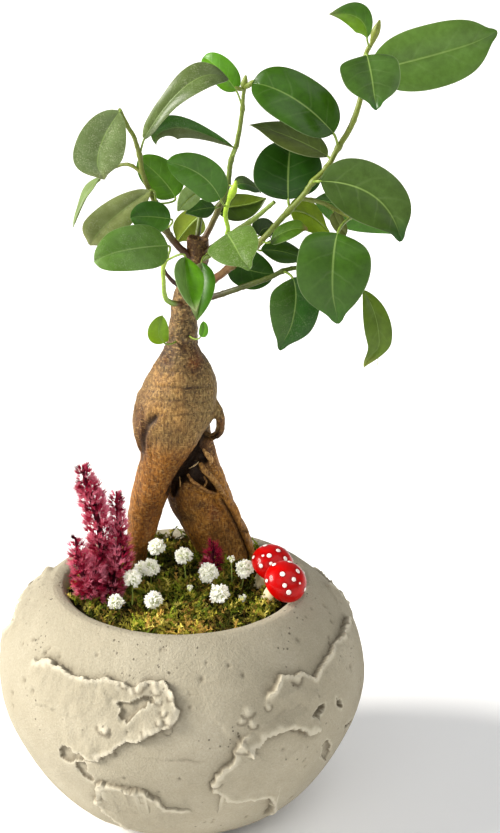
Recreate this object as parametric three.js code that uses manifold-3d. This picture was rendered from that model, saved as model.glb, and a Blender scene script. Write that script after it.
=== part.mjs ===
// A ficus ginseng bonsai in a round cast concrete bowl, with moss, a heather sprig, gypsophila and two
// toadstool picks. Millimetres, +Z up, front towards -Y, origin at the middle of the bowl's base.
import * as THREE from "three";
import { mergeVertices } from "three/addons/utils/BufferGeometryUtils.js";
import Module from "manifold-3d";

const wasm = await Module();
wasm.setup();

// Driving dimensions
const bowlDiameter = 161;
const bowlHeight = 106;
const baseDiameter = 72;
const mouthDiameter = 98;
const crestDiameter = 106;
const soilTop = 92;
const mossRadius = 48;
const seatGap = 0.3;
const leafThickness = 0.6;
const midribThickness = 1.0;
const petioleRadius = 0.7;
const capRadius = 9.3;
const stalkRadius = 4.4;
const crownMiddle = 16;
const crownSpread = 1.7;

// Outside of the bowl, from the base up to the crest of its lip: radius, height.
const bowlOutside = [
  [baseDiameter / 2, 0],
  [40, 0.8],
  [47, 4.5],
  [55.5, 10.5],
  [65, 21.5],
  [72.5, 35],
  [78.5, 49],
  [bowlDiameter / 2, 61],
  [79.8, 71],
  [76.6, 82],
  [71, 91],
  [66, 97],
  [61, 101.5],
  [56.8, 104.6],
  [crestDiameter / 2, bowlHeight],
];

// Inside of the bowl, from the lip down to the floor.
const bowlInside = [
  [50.4, 105],
  [mouthDiameter / 2, 102],
  [48.6, 96],
  [50, 88],
  [56, 75],
  [60, 60],
  [58, 42],
  [50, 28],
  [36, 20],
];
const bowlFloor = 18;

// The trunk: horizontal oval sections of centre x, y, z and half-widths across X and across Y.
const bulbAndFrontLeg = [
  [-21, 23, 84, 2.4, 2.4],
  [-21, 22.5, 97, 3.2, 3.2],
  [-20.6, 22, 105, 4, 4.2],
  [-19.5, 21, 113, 5, 5.5],
  [-18, 20, 120, 6.2, 6.5],
  [-16, 18, 130, 7.4, 7.6],
  [-13.3, 16, 140, 8.6, 8.6],
  [-9.5, 15, 151, 9.9, 9.8],
  [-6.3, 14, 159, 11.5, 11],
  [-5.2, 14, 165, 14, 12.5],
  [-3.8, 15, 172, 16.7, 14],
  [-2.5, 16, 178, 18, 15],
  [-1.2, 17, 185, 17.3, 15.2],
  [0.3, 18, 192, 15.2, 14],
  [0.9, 18, 198, 12.5, 12],
  [0.8, 18, 203, 10, 10],
  [0.6, 18, 207, 8, 8.4],
  [1.2, 18, 212, 6.4, 6.8],
  [2, 18, 221, 5.5, 5.8],
  [3.2, 17, 228, 5.8, 5.8],
  [4.7, 17, 235, 5.6, 5.6],
  [7.2, 17, 243, 4.8, 4.8],
  [8.1, 17, 250, 4.6, 4.6],
  [8.3, 17, 257, 4.4, 4.4],
];
const backLeg = [
  [20, 30, 84, 7, 6],
  [20, 30, 96, 11, 9],
  [19.5, 30, 103, 12.8, 10],
  [17.9, 30, 109, 13.3, 10.5],
  [14.8, 29, 116, 14.1, 11],
  [12.1, 28, 123, 14.1, 11.5],
  [7.8, 27, 133, 14.5, 12],
  [5.7, 25, 145, 12.6, 11.5],
  [4.1, 23, 156, 11.2, 11],
  [3.5, 22, 162, 10.5, 10.5],
  [2, 19, 180, 9, 9],
];
// Round roots that lie on the back leg, and the aerial root that loops out of the bulb: x, y, z, radius.
const sideRoots = [
  [
    [11, 20, 160, 3.4],
    [16.5, 18, 141, 4],
    [23, 21, 126, 3.6],
    [28.5, 24, 110, 3],
    [30, 26, 101, 2.8],
    [30, 27, 90, 2.4],
  ],
  [
    [11, 19, 186, 2],
    [16, 14, 181, 2.2],
    [17.6, 13, 175, 2.2],
    [16.5, 14, 169, 2],
    [11, 19, 164, 1.6],
  ],
  [
    [-1, 17, 151, 1.4],
    [8, 14.5, 143, 1.6],
    [16, 18.5, 137, 1.3],
  ],
];

// The woody shoots, each a list of branches: x, y, z, radius. The first point lies inside what bears it.
const shoots = {
  main_shoot: [
    [
      [11, 14, 236, 1.6],
      [16, 12, 240, 1.7],
      [22, 8, 246, 1.6],
      [28, 4, 252, 1.4],
      [33, 2, 257, 1.2],
      [44, 0, 270, 1.2],
      [51, -1, 278, 1.15],
      [56, -1, 285, 1.1],
      [61.7, 0, 291, 1.1],
      [66.3, 1, 299, 1.15],
      [71, 2, 307, 1.2],
      [73.8, 3, 314, 1.2],
      [75.3, 4, 320, 1.1],
      [76.3, 4, 329, 1],
      [77, 4, 337, 0.9],
      [79, 4, 341, 0.8],
      [80.3, 3.5, 345, 1.7],
      [81.4, 3.3, 348, 1.3],
      [82, 3, 350.5, 0.4],
    ],
    [
      [51, -1, 278, 0.9],
      [60, 3, 275, 0.9],
      [67, 4, 271, 0.85],
      [72, 2, 269, 0.8],
    ],
  ],
  centre_shoot: [
    [
      [9, 19, 251, 1.2],
      [13.5, 20.5, 260, 1.3],
      [18, 20, 270, 1.2],
      [21, 19, 279, 1.1],
      [22, 18, 288, 1.1],
      [25, 16, 298, 1],
      [27, 15, 311, 0.9],
      [28, 14, 320, 0.8],
      [28.4, 14, 325, 0.5],
    ],
  ],
  left_shoot: [
    [
      [6, 16, 247, 1.5],
      [0, 15, 253, 1.5],
      [-5, 12, 261, 1.4],
      [-9, 9, 273, 1.2],
      [-14, 8, 286, 1],
      [-15, 8, 293, 1],
      [-17, 7, 301, 0.9],
      [-20, 6, 307, 0.9],
      [-23, 5, 314, 0.6],
    ],
    [
      [-14, 8, 286, 0.8],
      [-18, 9, 289, 0.8],
      [-22, 10, 289.5, 0.75],
      [-27, 11, 287.5, 0.7],
      [-31, 12, 284, 0.65],
    ],
  ],
  low_left_shoot: [
    [
      [1, 14, 228, 1.2],
      [-3, 10, 229.5, 1.2],
      [-5.5, 7, 233, 1],
      [-6, 5, 240, 0.9],
      [-6, 5, 247, 0.9],
      [-4, 5, 252, 0.7],
    ],
  ],
  dry_twig: [
    [
      [2, 15, 234, 0.9],
      [-2.4, 10.5, 239, 0.9],
      [-5, 10, 242.5, 0.7],
      [-7, 10, 247, 0.6],
      [-8, 10, 251, 0.5],
    ],
  ],
  low_right_shoot: [
    [
      [7, 15, 229, 1.3],
      [15, 11, 232, 1.3],
      [28, 6, 238, 1.2],
      [38, 5, 242, 1.1],
      [44, 5, 245, 1],
      [50, 5, 246.5, 0.9],
      [58, 6, 246, 0.9],
      [67, 7, 242, 0.8],
      [73, 7, 239, 0.7],
    ],
  ],
  front_shoot: [
    [
      [10, 15, 247, 1.1],
      [17, 9, 254, 1],
      [21, 3, 262, 0.9],
      [20, 1, 271, 0.9],
      [21.4, 1, 276, 0.8],
      [22.6, 1, 279, 1.5],
      [23.8, 1, 282, 1.4],
      [24.6, 1, 285, 0.4],
    ],
  ],
  right_shoot: [
    [
      [10, 15.5, 249, 1.2],
      [20, 14, 257, 1.2],
      [29, 11, 264, 1.1],
      [34, 10, 268, 1],
      [40.5, 9, 274, 0.8],
    ],
  ],
  back_shoot: [
    [
      [7.4, 19, 253, 1.1],
      [8.6, 22, 260, 1.1],
      [9, 24, 266, 0.9],
      [8, 24, 272, 0.7],
    ],
  ],
};

// One leaf a row: where its petiole leaves the shoot, then base, middle and tip of the blade's midrib,
// width, turn about the midrib (0 with the upper side to the front), how far each half folds up, and,
// where it isn't the usual 0.42, the share of the midrib at which the blade is widest.
const leaves = [
  [[78.5, 4, 339], [77, 1, 344], [73, 0, 352], [62, -3, 354], 12, 15, 10],
  [[75, 4, 325], [79, 8, 329], [107, 9, 336], [131, 12, 343], 26, 10, 12, 0.45],
  [[77, 4, 335], [77, -1, 337], [79, -7, 328], [80, -13, 318], 24, 0, 12, 0.3],
  [[66, 1, 299], [64, 0, 305], [48, 1, 319], [31, 4, 325], 23, 15, 12],
  [[61, 0, 291], [62, 6, 294], [48, 9, 300.5], [30, 11, 306.5], 18, 45, 10],
  [[47, 0, 273], [46, 5, 276], [46, 9, 287.5], [47, 15, 298], 28, 0, 10, 0.37],
  [[56, -1, 285], [59, -4, 286], [81, -6, 280], [92, -9, 262], 24, 0, 10],
  [[56, 1, 276.5], [57, 7, 275.5], [73, 10, 270], [89, 12, 259], 18, 30, 10],
  [[63, 3, 273], [65, 6, 270], [67, 5, 266], [70, 4, 261], 6, 20, 10],
  [[72, 2, 269], [66, -8, 265], [64, -12, 251], [65, -12, 227], 30, 0, 10],
  [[44, 5, 245], [48, 1, 243], [49, -2, 231], [44, -3, 212], 21, 0, 12],
  [[21, 3, 262], [21, -2, 263], [24.5, -9, 259], [29, -14, 251], 21, 0, 5, 0.25],
  [[73, 7, 239], [78, 6, 236], [84, 3, 221], [84, 3, 202], 12, 0, 15, 0.52],
  [[35, 2, 259], [39, -2, 260], [46, -4, 265], [54, -5, 266], 12, -50, 8],
  [[46, 0, 272], [47, 5, 271], [55, 8, 268], [63, 10, 260], 14, 150, 8],
  [[23, 8, 247], [23.5, 12.5, 248], [30, 12, 243.5], [40, 11, 242], 16, 0, 8],
  [[33, 2, 256], [35, 5, 254], [44, 6, 253], [55, 7, 249], 13, -40, 8],
  [[30, 12, 263.6], [34, 14, 258], [36.5, 16, 260.5], [41, 17, 259], 10, -20, 8],
  [[-15, 8, 294], [-13, 8, 301], [4, 8, 322.5], [21, 12, 327], 14, -25, 15, 0.62],
  [[27, 15, 312], [24.5, 17, 319], [18, 19, 327], [11, 22, 332], 11, 0, 10],
  [[22, 18, 290], [23, 14, 296], [1.5, 11, 304.7], [-5, 6.5, 299.9], 11.5, 25, 12, 0.72],
  [[-22.5, 5.2, 312.8], [-22.6, 2.4, 313.4], [-31, 1, 298.5], [-31, -2, 286], 20, 0, 10, 0.56],
  [[-31, 12, 284], [-32, 12, 283], [-37.5, 11, 277], [-44, 10, 263], 12, 70, 10],
  [[-9, 9, 273], [-11, 5.5, 279.6], [-27.3, 3.6, 267.6], [-36, 1, 257.8], 14.6, -8, 10, 0.7],
  [[-5, 5, 250], [-4, -0.2, 257.5], [-18, -6, 257.8], [-34, -9, 254.8], 19, 10, 10],
  [[-5, 12, 261], [-3, 6, 267.3], [-11, 2.6, 269.2], [-19, 0.4, 269.6], 12.5, 0, 8],
  [[-9, 9, 273], [-1, 13, 275], [-7, 14, 283], [-16, 14.5, 291], 15, 0, 8],
  [[20, 1, 274], [18, -2, 278], [10, -5, 289], [-3, -8, 295], 15, 0, 8],
  [[8, 24, 271], [10, 12.5, 277.7], [5, 9, 275.6], [0, 6, 270.6], 9, 150, 10],
  [[18, 20, 269], [15.5, 17.6, 269], [10, 16.8, 268.6], [3, 16, 267], 10, 35, 8],
  [[18, 20, 266], [15, 23, 268], [26, 24, 268], [37, 25, 271], 13, 160, 8],
  [[21, 19, 279], [24, 17, 278.7], [29, 18, 279], [35, 20, 275], 9, -50, 8],
  [[9, 23, 264], [9, 27, 263], [4, 28, 258], [-1, 29, 251], 13, 170, 8],
  [[-5.5, 5, 249], [3.4, -2.4, 252.8], [3.9, -7.2, 242.8], [8, -9, 232], 16, -28, 40],
  [[13, 13, 250], [10, 6, 248], [9.5, 2, 238], [8, 0, 225], 14, 0, 30],
  [[1, 17, 212], [-6.5, 8, 212.5], [-8.5, 6, 218], [-6.5, 5, 225], 9, 0, 15],
  [[2, 17, 215], [9.4, 10, 214.5], [10.6, 10, 217.5], [10.4, 10, 221], 4, 0, 10],
];

// Half-width of a blade along its midrib, as a share of the widest.
const bladeOutline = [
  [0, 0.1],
  [0.05, 0.38],
  [0.14, 0.7],
  [0.27, 0.93],
  [0.42, 1],
  [0.6, 0.91],
  [0.78, 0.62],
  [0.92, 0.24],
  [1, 0.05],
];

// The heather: one sprig of spires that grow together, and a small tip behind: x, y, z, radius.
const heatherSpires = {
  heather_sprig: [
    [
      [-35, -8, 86, 1.2],
      [-35, -8, 99, 3.5],
      [-35, -7, 108, 7.5],
      [-35, -7, 122, 7],
      [-36, -8, 138, 6.5],
      [-38, -8, 152, 6],
      [-40, -8, 161, 4],
      [-41, -8, 166, 1],
    ],
    [
      [-35, -8, 100, 3],
      [-31, -9, 108, 6],
      [-28, -8, 120, 6.5],
      [-27, -4, 134, 3.5],
      [-27, 0, 149, 1.2],
    ],
    [
      [-36, -9, 100, 3],
      [-40, -14, 110, 5.5],
      [-43, -16, 121, 5],
      [-45, -16, 130, 2.5],
      [-46, -16, 135, 1],
    ],
  ],
  heather_tip: [
    [
      [12, 10, 90, 0.8],
      [13, 9, 101, 2],
      [13, 9, 108, 4.5],
      [14, 9, 115, 2.5],
      [14, 9, 119, 1],
    ],
  ],
};

// The gypsophila: a root in the soil and the flower heads that it bears, x, y, z, radius.
const gypsophila = [
  [[-14, 4, 88], [[-11, 12, 115.5, 3.8], [-13, -2, 112, 3.8], [-17, 1, 110, 3.4]]],
  [[-21, -22, 88], [[-20.4, -15, 113, 3.8], [-27, -26, 107, 3.4], [-11, -26, 108, 3.8]]],
  [[4, 2, 88], [[1, 8, 113, 3.8], [12, -3, 110, 4.2], [4, -12, 107, 1.6]]],
  [[23, -8, 88], [[17, -18, 107, 4.2], [28, 0, 110.5, 4], [22, 5, 113, 1.8], [27, -18, 105, 1.8]]],
];
const flowerStemRadius = 0.6;

// The toadstools: middle of the cap's underside, direction of the cap, foot of the stalk.
const toadstools = {
  front: [[44, -18, 111.8], [0.42, -0.55, 0.72], [33, -8, 90]],
  back: [[39, 0, 111], [0.35, -0.35, 0.87], [33, 8, 90]],
};

const vector = (row) => new THREE.Vector3(row[0], row[1], row[2]);
const clamp = THREE.MathUtils.clamp;
const radians = THREE.MathUtils.degToRad;

// A smooth curve through rows of numbers, column by column, at t from 0 to 1.
function through(rows, t) {
  const place = clamp(t, 0, 1) * (rows.length - 1);
  const first = Math.min(Math.floor(place), rows.length - 2);
  const f = place - first;
  const row = (step) => rows[clamp(first + step, 0, rows.length - 1)];
  return rows[0].map((_, column) => {
    const [a, b, c, d] = [row(-1)[column], row(0)[column], row(1)[column], row(2)[column]];
    return b + 0.5 * f * (c - a + f * (2 * a - 5 * b + 4 * c - d + f * (3 * (b - c) + d - a)));
  });
}

// A closed three.js geometry as a solid, with its shared vertices merged.
function toSolid(geometry) {
  const bare = geometry.clone();
  bare.deleteAttribute("normal");
  bare.deleteAttribute("uv");
  const merged = mergeVertices(bare, 1e-4);
  return new wasm.Manifold(
    new wasm.Mesh({
      numProp: 3,
      vertProperties: merged.attributes.position.array,
      triVerts: new Uint32Array(merged.index.array),
    }),
  );
}

// The rows of the crown are written close to the plane of the trunk. This draws a row's point apart from
// that plane, along the line from the front at which it is seen, so forward points rise and close in.
function deepen(row) {
  const shift = (row[1] - crownMiddle) * (crownSpread - 1);
  row[0] += ((row[0] - 30) * shift) / 890;
  row[2] -= shift * (0.2 + (350 - row[2]) / 800);
  row[1] += shift;
}
Object.values(shoots).flat(2).forEach(deepen);
leaves.flatMap((row) => row.slice(0, 4)).forEach(deepen);

function toGeometry(solid) {
  const mesh = solid.getMesh();
  const geometry = new THREE.BufferGeometry();
  geometry.setAttribute("position", new THREE.BufferAttribute(mesh.vertProperties, 3));
  geometry.setIndex(new THREE.BufferAttribute(mesh.triVerts, 1));
  return geometry;
}

// Moves each vertex of a geometry to the place that the function gives for it.
function reshape(geometry, place) {
  const position = geometry.attributes.position;
  const point = new THREE.Vector3();
  for (let i = 0; i < position.count; i++) {
    const moved = place(point.fromBufferAttribute(position, i));
    position.setXYZ(i, moved.x, moved.y, moved.z);
  }
  return geometry;
}

// Directions along a row curve, with a side and a normal that turn as little as the curve lets them.
function framesAlong(rows, steps) {
  const frames = [];
  let side = new THREE.Vector3(0, 1, 0);
  for (let k = 0; k <= steps; k++) {
    const ahead = vector(through(rows, (k + 0.25) / steps));
    const behind = vector(through(rows, (k - 0.25) / steps));
    const along = ahead.sub(behind).normalize();
    if (k === 0 && Math.abs(along.y) > 0.9) side.set(1, 0, 0);
    side = side.clone().addScaledVector(along, -side.dot(along)).normalize();
    frames.push({ along, side, normal: along.clone().cross(side) });
  }
  return frames;
}

// A round limb along rows of x, y, z, radius: a cylinder bent along the curve and drawn in or out.
function roundLimb(rows, sides, steps, grow = 0) {
  const frames = framesAlong(rows, steps);
  const cylinder = new THREE.CylinderGeometry(1, 1, 1, sides, steps);
  return toSolid(
    reshape(cylinder, ({ x, y, z }) => {
      const k = Math.round((y + 0.5) * steps);
      const row = through(rows, k / steps);
      const radius = Math.max(row[3], 0.2) + grow;
      const { side, normal, along } = frames[k];
      const end = k === 0 ? -grow : k === steps ? grow : 0;
      return vector(row)
        .addScaledVector(side, z * radius)
        .addScaledVector(normal, x * radius)
        .addScaledVector(along, end);
    }),
  );
}

// A limb of horizontal oval sections.
function ovalLimb(rows, sides, steps, grow = 0) {
  const cylinder = new THREE.CylinderGeometry(1, 1, 1, sides, steps);
  return toSolid(
    reshape(cylinder, ({ x, y, z }) => {
      const row = through(rows, y + 0.5);
      const end = y < -0.49 ? -grow : y > 0.49 ? grow : 0;
      return new THREE.Vector3(
        row[0] + x * (row[3] + grow),
        row[1] - z * (row[4] + grow),
        row[2] + end,
      );
    }),
  );
}

const joined = (solids) => solids.reduce((whole, next) => whole.add(next));

function buildTrunk(grow = 0) {
  return joined([
    ovalLimb(bulbAndFrontLeg, 14, 30, grow),
    ovalLimb(backLeg, 14, 12, grow),
    ...sideRoots.map((root) => roundLimb(root, 7, 8, grow)),
  ]);
}

const buildShoot = (branches, grow = 0) =>
  joined(branches.map((branch) => roundLimb(branch, 6, Math.round(branch.length * 1.4), grow)));

function buildBowl() {
  const profile = [[0, 0], ...bowlOutside, ...bowlInside, [0, bowlFloor]];
  const points = profile.map(([radius, height]) => new THREE.Vector2(radius, height));
  return toSolid(standing(new THREE.LatheGeometry(points, 40)));
}

// Lathes turn about Y, so their geometry is stood up to turn about Z.
function standing(geometry) {
  return geometry.rotateX(Math.PI / 2);
}

function buildSoil() {
  const wall = bowlInside.filter(([, height]) => height < soilTop).reverse();
  const top = [bowlInside[2][0] + 0.4 - seatGap, soilTop];
  const inner = wall.map(([radius, height]) => [radius - seatGap, height + seatGap]);
  const profile = [[0, bowlFloor + seatGap], ...inner, top, [0, soilTop]];
  const points = profile.map(([radius, height]) => new THREE.Vector2(radius, height));
  return toSolid(standing(new THREE.LatheGeometry(points, 40)));
}

// The moss lies highest round the feet of the trunk and falls towards the front.
function mossHeight(x, y) {
  const mound = 3 * Math.exp(-((x - 2) ** 2 + (y - 22) ** 2) / 900);
  const tufts = 0.5 * Math.sin(x / 3.1 + 1) * Math.cos(y / 3.7);
  return 100.6 + mound + 0.02 * y + tufts;
}

function buildMoss() {
  const rings = [1, 0.86, 0.66, 0.44, 0.2, 0].map((share) => [share * mossRadius, 1]);
  const profile = [[0, 0], [mossRadius, 0], ...rings];
  const points = profile.map(([radius, height]) => new THREE.Vector2(radius, height));
  const disc = standing(new THREE.LatheGeometry(points, 30));
  return toSolid(
    reshape(disc, ({ x, y, z }) => {
      const height = z > 0.5 ? mossHeight(x, y) : soilTop + seatGap;
      return new THREE.Vector3(x, y, height);
    }),
  );
}

// The nearest point of any shoot's or the neck's middle line, with the wood's radius and direction.
function woodNear(point) {
  const limbs = [...Object.values(shoots).flat(), bulbAndFrontLeg];
  let nearest = { distance: Infinity };
  for (const rows of limbs) {
    const steps = rows.length * 12;
    for (let k = 0; k <= steps; k++) {
      const row = through(rows, k / steps);
      const distance = vector(row).distanceTo(point);
      if (distance < nearest.distance) {
        const behind = vector(through(rows, (k - 0.5) / steps));
        const along = vector(through(rows, (k + 0.5) / steps)).sub(behind);
        const radius = Math.max(row[3], row[4] ?? 0);
        nearest = { distance, middle: vector(row), radius, along: along.normalize(), atEnd: k === steps };
      }
    }
  }
  return nearest;
}

// Moves the marks of the usual outline along the midrib, so that the blade is widest at the belly.
function shifted(mark, belly) {
  return mark < 0.42 ? (mark * belly) / 0.42 : 1 - ((1 - mark) * (1 - belly)) / 0.58;
}

// A leaf: a box bent along petiole and midrib. Its sections are six-sided, round in the petiole and flat
// in the blade, whose two halves fold up from the midrib.
function buildLeaf([node, bladeBase, bladeMiddle, bladeTip, width, turn, fold, belly = 0.42]) {
  const base = vector(bladeBase);
  const tip = vector(bladeTip);
  const chord = tip.clone().sub(base).normalize();
  const front = new THREE.Vector3(0, -1, 0.35);
  const normal = front.addScaledVector(chord, -front.dot(chord)).normalize();
  normal.applyAxisAngle(chord, radians(turn));
  const side = normal.clone().cross(chord);
  const pull = vector(bladeMiddle).multiplyScalar(2).addScaledVector(base, -0.5).addScaledVector(tip, -0.5);
  const midrib = new THREE.QuadraticBezierCurve3(base, pull, tip);

  const wood = woodNear(vector(node));
  const start = wood.middle.clone();
  const outward = base.clone().sub(start).normalize();
  const cosine = Math.abs(outward.dot(wood.along));
  const sine = Math.sqrt(1 - cosine * cosine);
  const besideWood = (wood.radius + seatGap + petioleRadius * 0.7 * cosine) / sine;
  const pastEnd = (seatGap + petioleRadius * sine) / cosine;
  start.addScaledVector(outward, wood.atEnd ? Math.min(pastEnd, besideWood) : besideWood);
  const bend = base.clone().addScaledVector(midrib.getTangent(0), -0.4 * start.distanceTo(base));
  const petiole = new THREE.QuadraticBezierCurve3(start, bend, base);

  const petioleSteps = 2;
  const steps = petioleSteps + bladeOutline.length - 1;
  const box = new THREE.BoxGeometry(1, 1, 1, 2, 1, steps);
  return toSolid(
    reshape(box, ({ x, y, z }) => {
      const k = Math.round((z + 0.5) * steps);
      const inPetiole = k < petioleSteps;
      const [mark, part] = inPetiole ? [k / petioleSteps, 0] : bladeOutline[k - petioleSteps];
      const share = inPetiole ? mark : shifted(mark, belly);
      const curve = inPetiole ? petiole : midrib;
      const along = curve.getTangent(share);
      const across = side.clone().addScaledVector(along, -side.dot(along)).normalize();
      const up = along.clone().cross(across);
      const inBlade = k > petioleSteps;
      const thin = 1 - 0.4 * share;
      const half = inBlade ? (width / 2) * part : petioleRadius * 0.87;
      const edge = inBlade ? (leafThickness / 2) * thin : petioleRadius / 2;
      const rib = inBlade ? (midribThickness / 2) * thin : petioleRadius;
      const lift = inBlade ? half * Math.sin(radians(fold)) : 0;
      const reach = inBlade ? half * Math.cos(radians(fold)) : half;
      const onEdge = Math.abs(x) > 0.1;
      return curve
        .getPoint(share)
        .addScaledVector(across, Math.sign(x) * (onEdge ? reach : 0))
        .addScaledVector(up, Math.sign(y) * (onEdge ? edge : rib) + (onEdge ? lift : 0));
    }),
  );
}

function buildGypsophila([root, heads], grow = 0) {
  const pieces = heads.flatMap(([x, y, z, radius]) => {
    const head = new THREE.OctahedronGeometry(radius + grow, 1).translate(x, y, z);
    const halfway = [(root[0] + 2 * x) / 3, (root[1] + 2 * y) / 3, (root[2] + z) / 2 + 2];
    const stem = [
      [...root, flowerStemRadius],
      [...halfway, flowerStemRadius],
      [x, y, z, flowerStemRadius],
    ];
    return [toSolid(head), roundLimb(stem, 6, 6, grow)];
  });
  return joined(pieces);
}

// A cap: a dome a little deeper than half a ball, closed by a flat underside.
function buildCap([under, direction]) {
  const profile = [[0, 0], [capRadius * 0.86, 0]];
  for (let k = 1; k <= 7; k++) {
    const angle = radians(-18 + (108 * k) / 7);
    profile.push([capRadius * Math.cos(angle), capRadius * 0.28 + capRadius * 0.82 * Math.sin(angle)]);
  }
  profile[profile.length - 1][0] = 0;
  const points = profile.map(([radius, height]) => new THREE.Vector2(radius, height));
  const cap = new THREE.LatheGeometry(points, 16);
  const facing = new THREE.Quaternion().setFromUnitVectors(
    new THREE.Vector3(0, 1, 0),
    vector(direction).normalize(),
  );
  return toSolid(cap.applyQuaternion(facing).translate(...under));
}

// A stalk: thick and slightly waisted, from the soil to just under the cap.
function buildStalk([under, direction, foot], grow = 0) {
  const down = vector(direction).normalize();
  const top = vector(under).addScaledVector(down, -seatGap);
  const bend = top.clone().addScaledVector(down, -7);
  const rows = [
    [...foot, stalkRadius * 0.8],
    [...vector(foot).lerp(bend, 0.6).toArray(), stalkRadius * 0.9],
    [...bend.toArray(), stalkRadius * 0.95],
    [...top.toArray(), stalkRadius],
  ];
  return roundLimb(rows, 10, 6, grow);
}

function material(color, roughness) {
  return new THREE.MeshStandardMaterial({ color, roughness, metalness: 0, flatShading: true });
}

const finishes = {
  concrete: material(0xd8cfba, 0.9),
  soil: material(0x35261b, 1),
  moss: material(0x5f6a22, 1),
  bark: material(0x94703f, 0.85),
  youngBark: material(0x6f7a2c, 0.6),
  leaf: material(0x35691f, 0.35),
  heather: material(0xa83a5f, 0.9),
  gypsophila: material(0xf1f2e4, 0.9),
  cap: material(0xd0100f, 0.25),
  stalk: material(0xe6dcc0, 0.8),
};

const group = new THREE.Group();

function addNode(name, solid, finish) {
  const mesh = new THREE.Mesh(toGeometry(solid), finish);
  mesh.name = name;
  group.add(mesh);
}

const trunkAndGap = buildTrunk(seatGap);
const planted = [trunkAndGap];

addNode("trunk", buildTrunk(), finishes.bark);

for (const [name, branches] of Object.entries(shoots)) {
  addNode(name, buildShoot(branches).subtract(trunkAndGap), finishes.youngBark);
}

leaves.forEach((row, i) => {
  addNode("leaf_" + String(i + 1).padStart(2, "0"), buildLeaf(row), finishes.leaf);
});

for (const [name, spires] of Object.entries(heatherSpires)) {
  const build = (grow) => joined(spires.map((rows) => roundLimb(rows, 7, rows.length, grow)));
  addNode(name, build(0), finishes.heather);
  planted.push(build(seatGap));
}

gypsophila.forEach((row, i) => {
  addNode("gypsophila_" + (i + 1), buildGypsophila(row), finishes.gypsophila);
  planted.push(buildGypsophila(row, seatGap));
});

for (const [name, row] of Object.entries(toadstools)) {
  addNode(name + "_toadstool_cap", buildCap(row), finishes.cap);
  addNode(name + "_toadstool_stalk", buildStalk(row), finishes.stalk);
  planted.push(buildStalk(row, seatGap));
}

const holes = joined(planted);
addNode("bowl", buildBowl(), finishes.concrete);
addNode("soil", buildSoil().subtract(holes), finishes.soil);
addNode("moss", buildMoss().subtract(holes), finishes.moss);

export default group;
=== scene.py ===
# A ficus ginseng bonsai in a cast concrete bowl, with moss, heather, gypsophila and two toadstool picks.
# Sizes are typed in millimetres and become metres where a mesh is made. Front is -Y, up is +Z.
import itertools
import math

import bpy
import numpy as np
from mathutils import Matrix, Quaternion, Vector


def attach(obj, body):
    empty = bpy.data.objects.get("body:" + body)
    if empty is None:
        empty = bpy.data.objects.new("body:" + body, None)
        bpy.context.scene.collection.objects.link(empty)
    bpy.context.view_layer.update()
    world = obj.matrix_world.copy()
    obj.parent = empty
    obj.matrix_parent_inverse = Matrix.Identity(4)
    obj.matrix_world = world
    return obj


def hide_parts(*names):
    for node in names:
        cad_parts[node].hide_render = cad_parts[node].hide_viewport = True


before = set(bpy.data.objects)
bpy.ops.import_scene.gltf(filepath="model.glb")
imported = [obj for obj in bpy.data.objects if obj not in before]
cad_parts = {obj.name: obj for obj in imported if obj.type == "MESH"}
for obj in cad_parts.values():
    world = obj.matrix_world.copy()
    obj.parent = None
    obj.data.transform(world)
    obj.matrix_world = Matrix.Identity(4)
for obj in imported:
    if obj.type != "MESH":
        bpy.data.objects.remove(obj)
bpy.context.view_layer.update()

mm = 0.001


# Small tools for the whole script

def linear(hexColor):
    channels = [int(hexColor[i:i + 2], 16) / 255 for i in (1, 3, 5)]
    return np.array([c / 12.92 if c < 0.04045 else ((c + 0.055) / 1.055) ** 2.4 for c in channels] + [1.0])


def addNode(tree, kind, inputs=(), stops=(), **settings):
    # inputs are a list in the order of the sockets or a dictionary by name, and stops are those of a ramp
    node = tree.nodes.new("ShaderNode" + kind)
    if kind == "Mix":
        node.data_type = "RGBA"
    for name, value in settings.items():
        setattr(node, name, value)
    if not isinstance(inputs, dict):
        inputs = dict(zip((0, 6, 7) if kind == "Mix" else range(5), inputs))
    for name, value in inputs.items():
        if isinstance(value, bpy.types.Node):
            value = value.outputs[2 if value.bl_idname == "ShaderNodeMix" else 0]
        if isinstance(value, bpy.types.NodeSocket):
            tree.links.new(value, node.inputs[name])
        else:
            node.inputs[name].default_value = linear(value) if isinstance(value, str) else value
    for i, (place, color) in enumerate(stops):
        element = node.color_ramp.elements[i] if i < 2 else node.color_ramp.elements.new(place)
        element.position, element.color = place, linear(color)
    return node


def startMaterial(name):
    material = bpy.data.materials.new(name)
    material.use_nodes = True
    tree = material.node_tree
    tree.nodes.clear()
    return material, tree, addNode(tree, "TexCoord").outputs["Object"]


def layTones(tree, tone, layers):
    # each layer is a share from 0 to 1, how strong it gets, and its colour
    for share, strength, color in layers:
        share = addNode(tree, "Math", [share, strength], operation="MULTIPLY")
        tone = addNode(tree, "Mix", [share, tone, color])
    return tone


def endMaterial(material, color, finish, height=None, strength=0, depth=0):
    # finish holds the shader's other sockets; a height becomes a bump of so many millimetres
    tree, inputs = material.node_tree, {"Base Color": color, **finish}
    if strength:
        inputs["Normal"] = addNode(tree, "Bump", {"Height": height, "Strength": strength, "Distance": depth * mm})
    addNode(tree, "OutputMaterial", {"Surface": addNode(tree, "BsdfPrincipled", inputs)})
    return material


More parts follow.
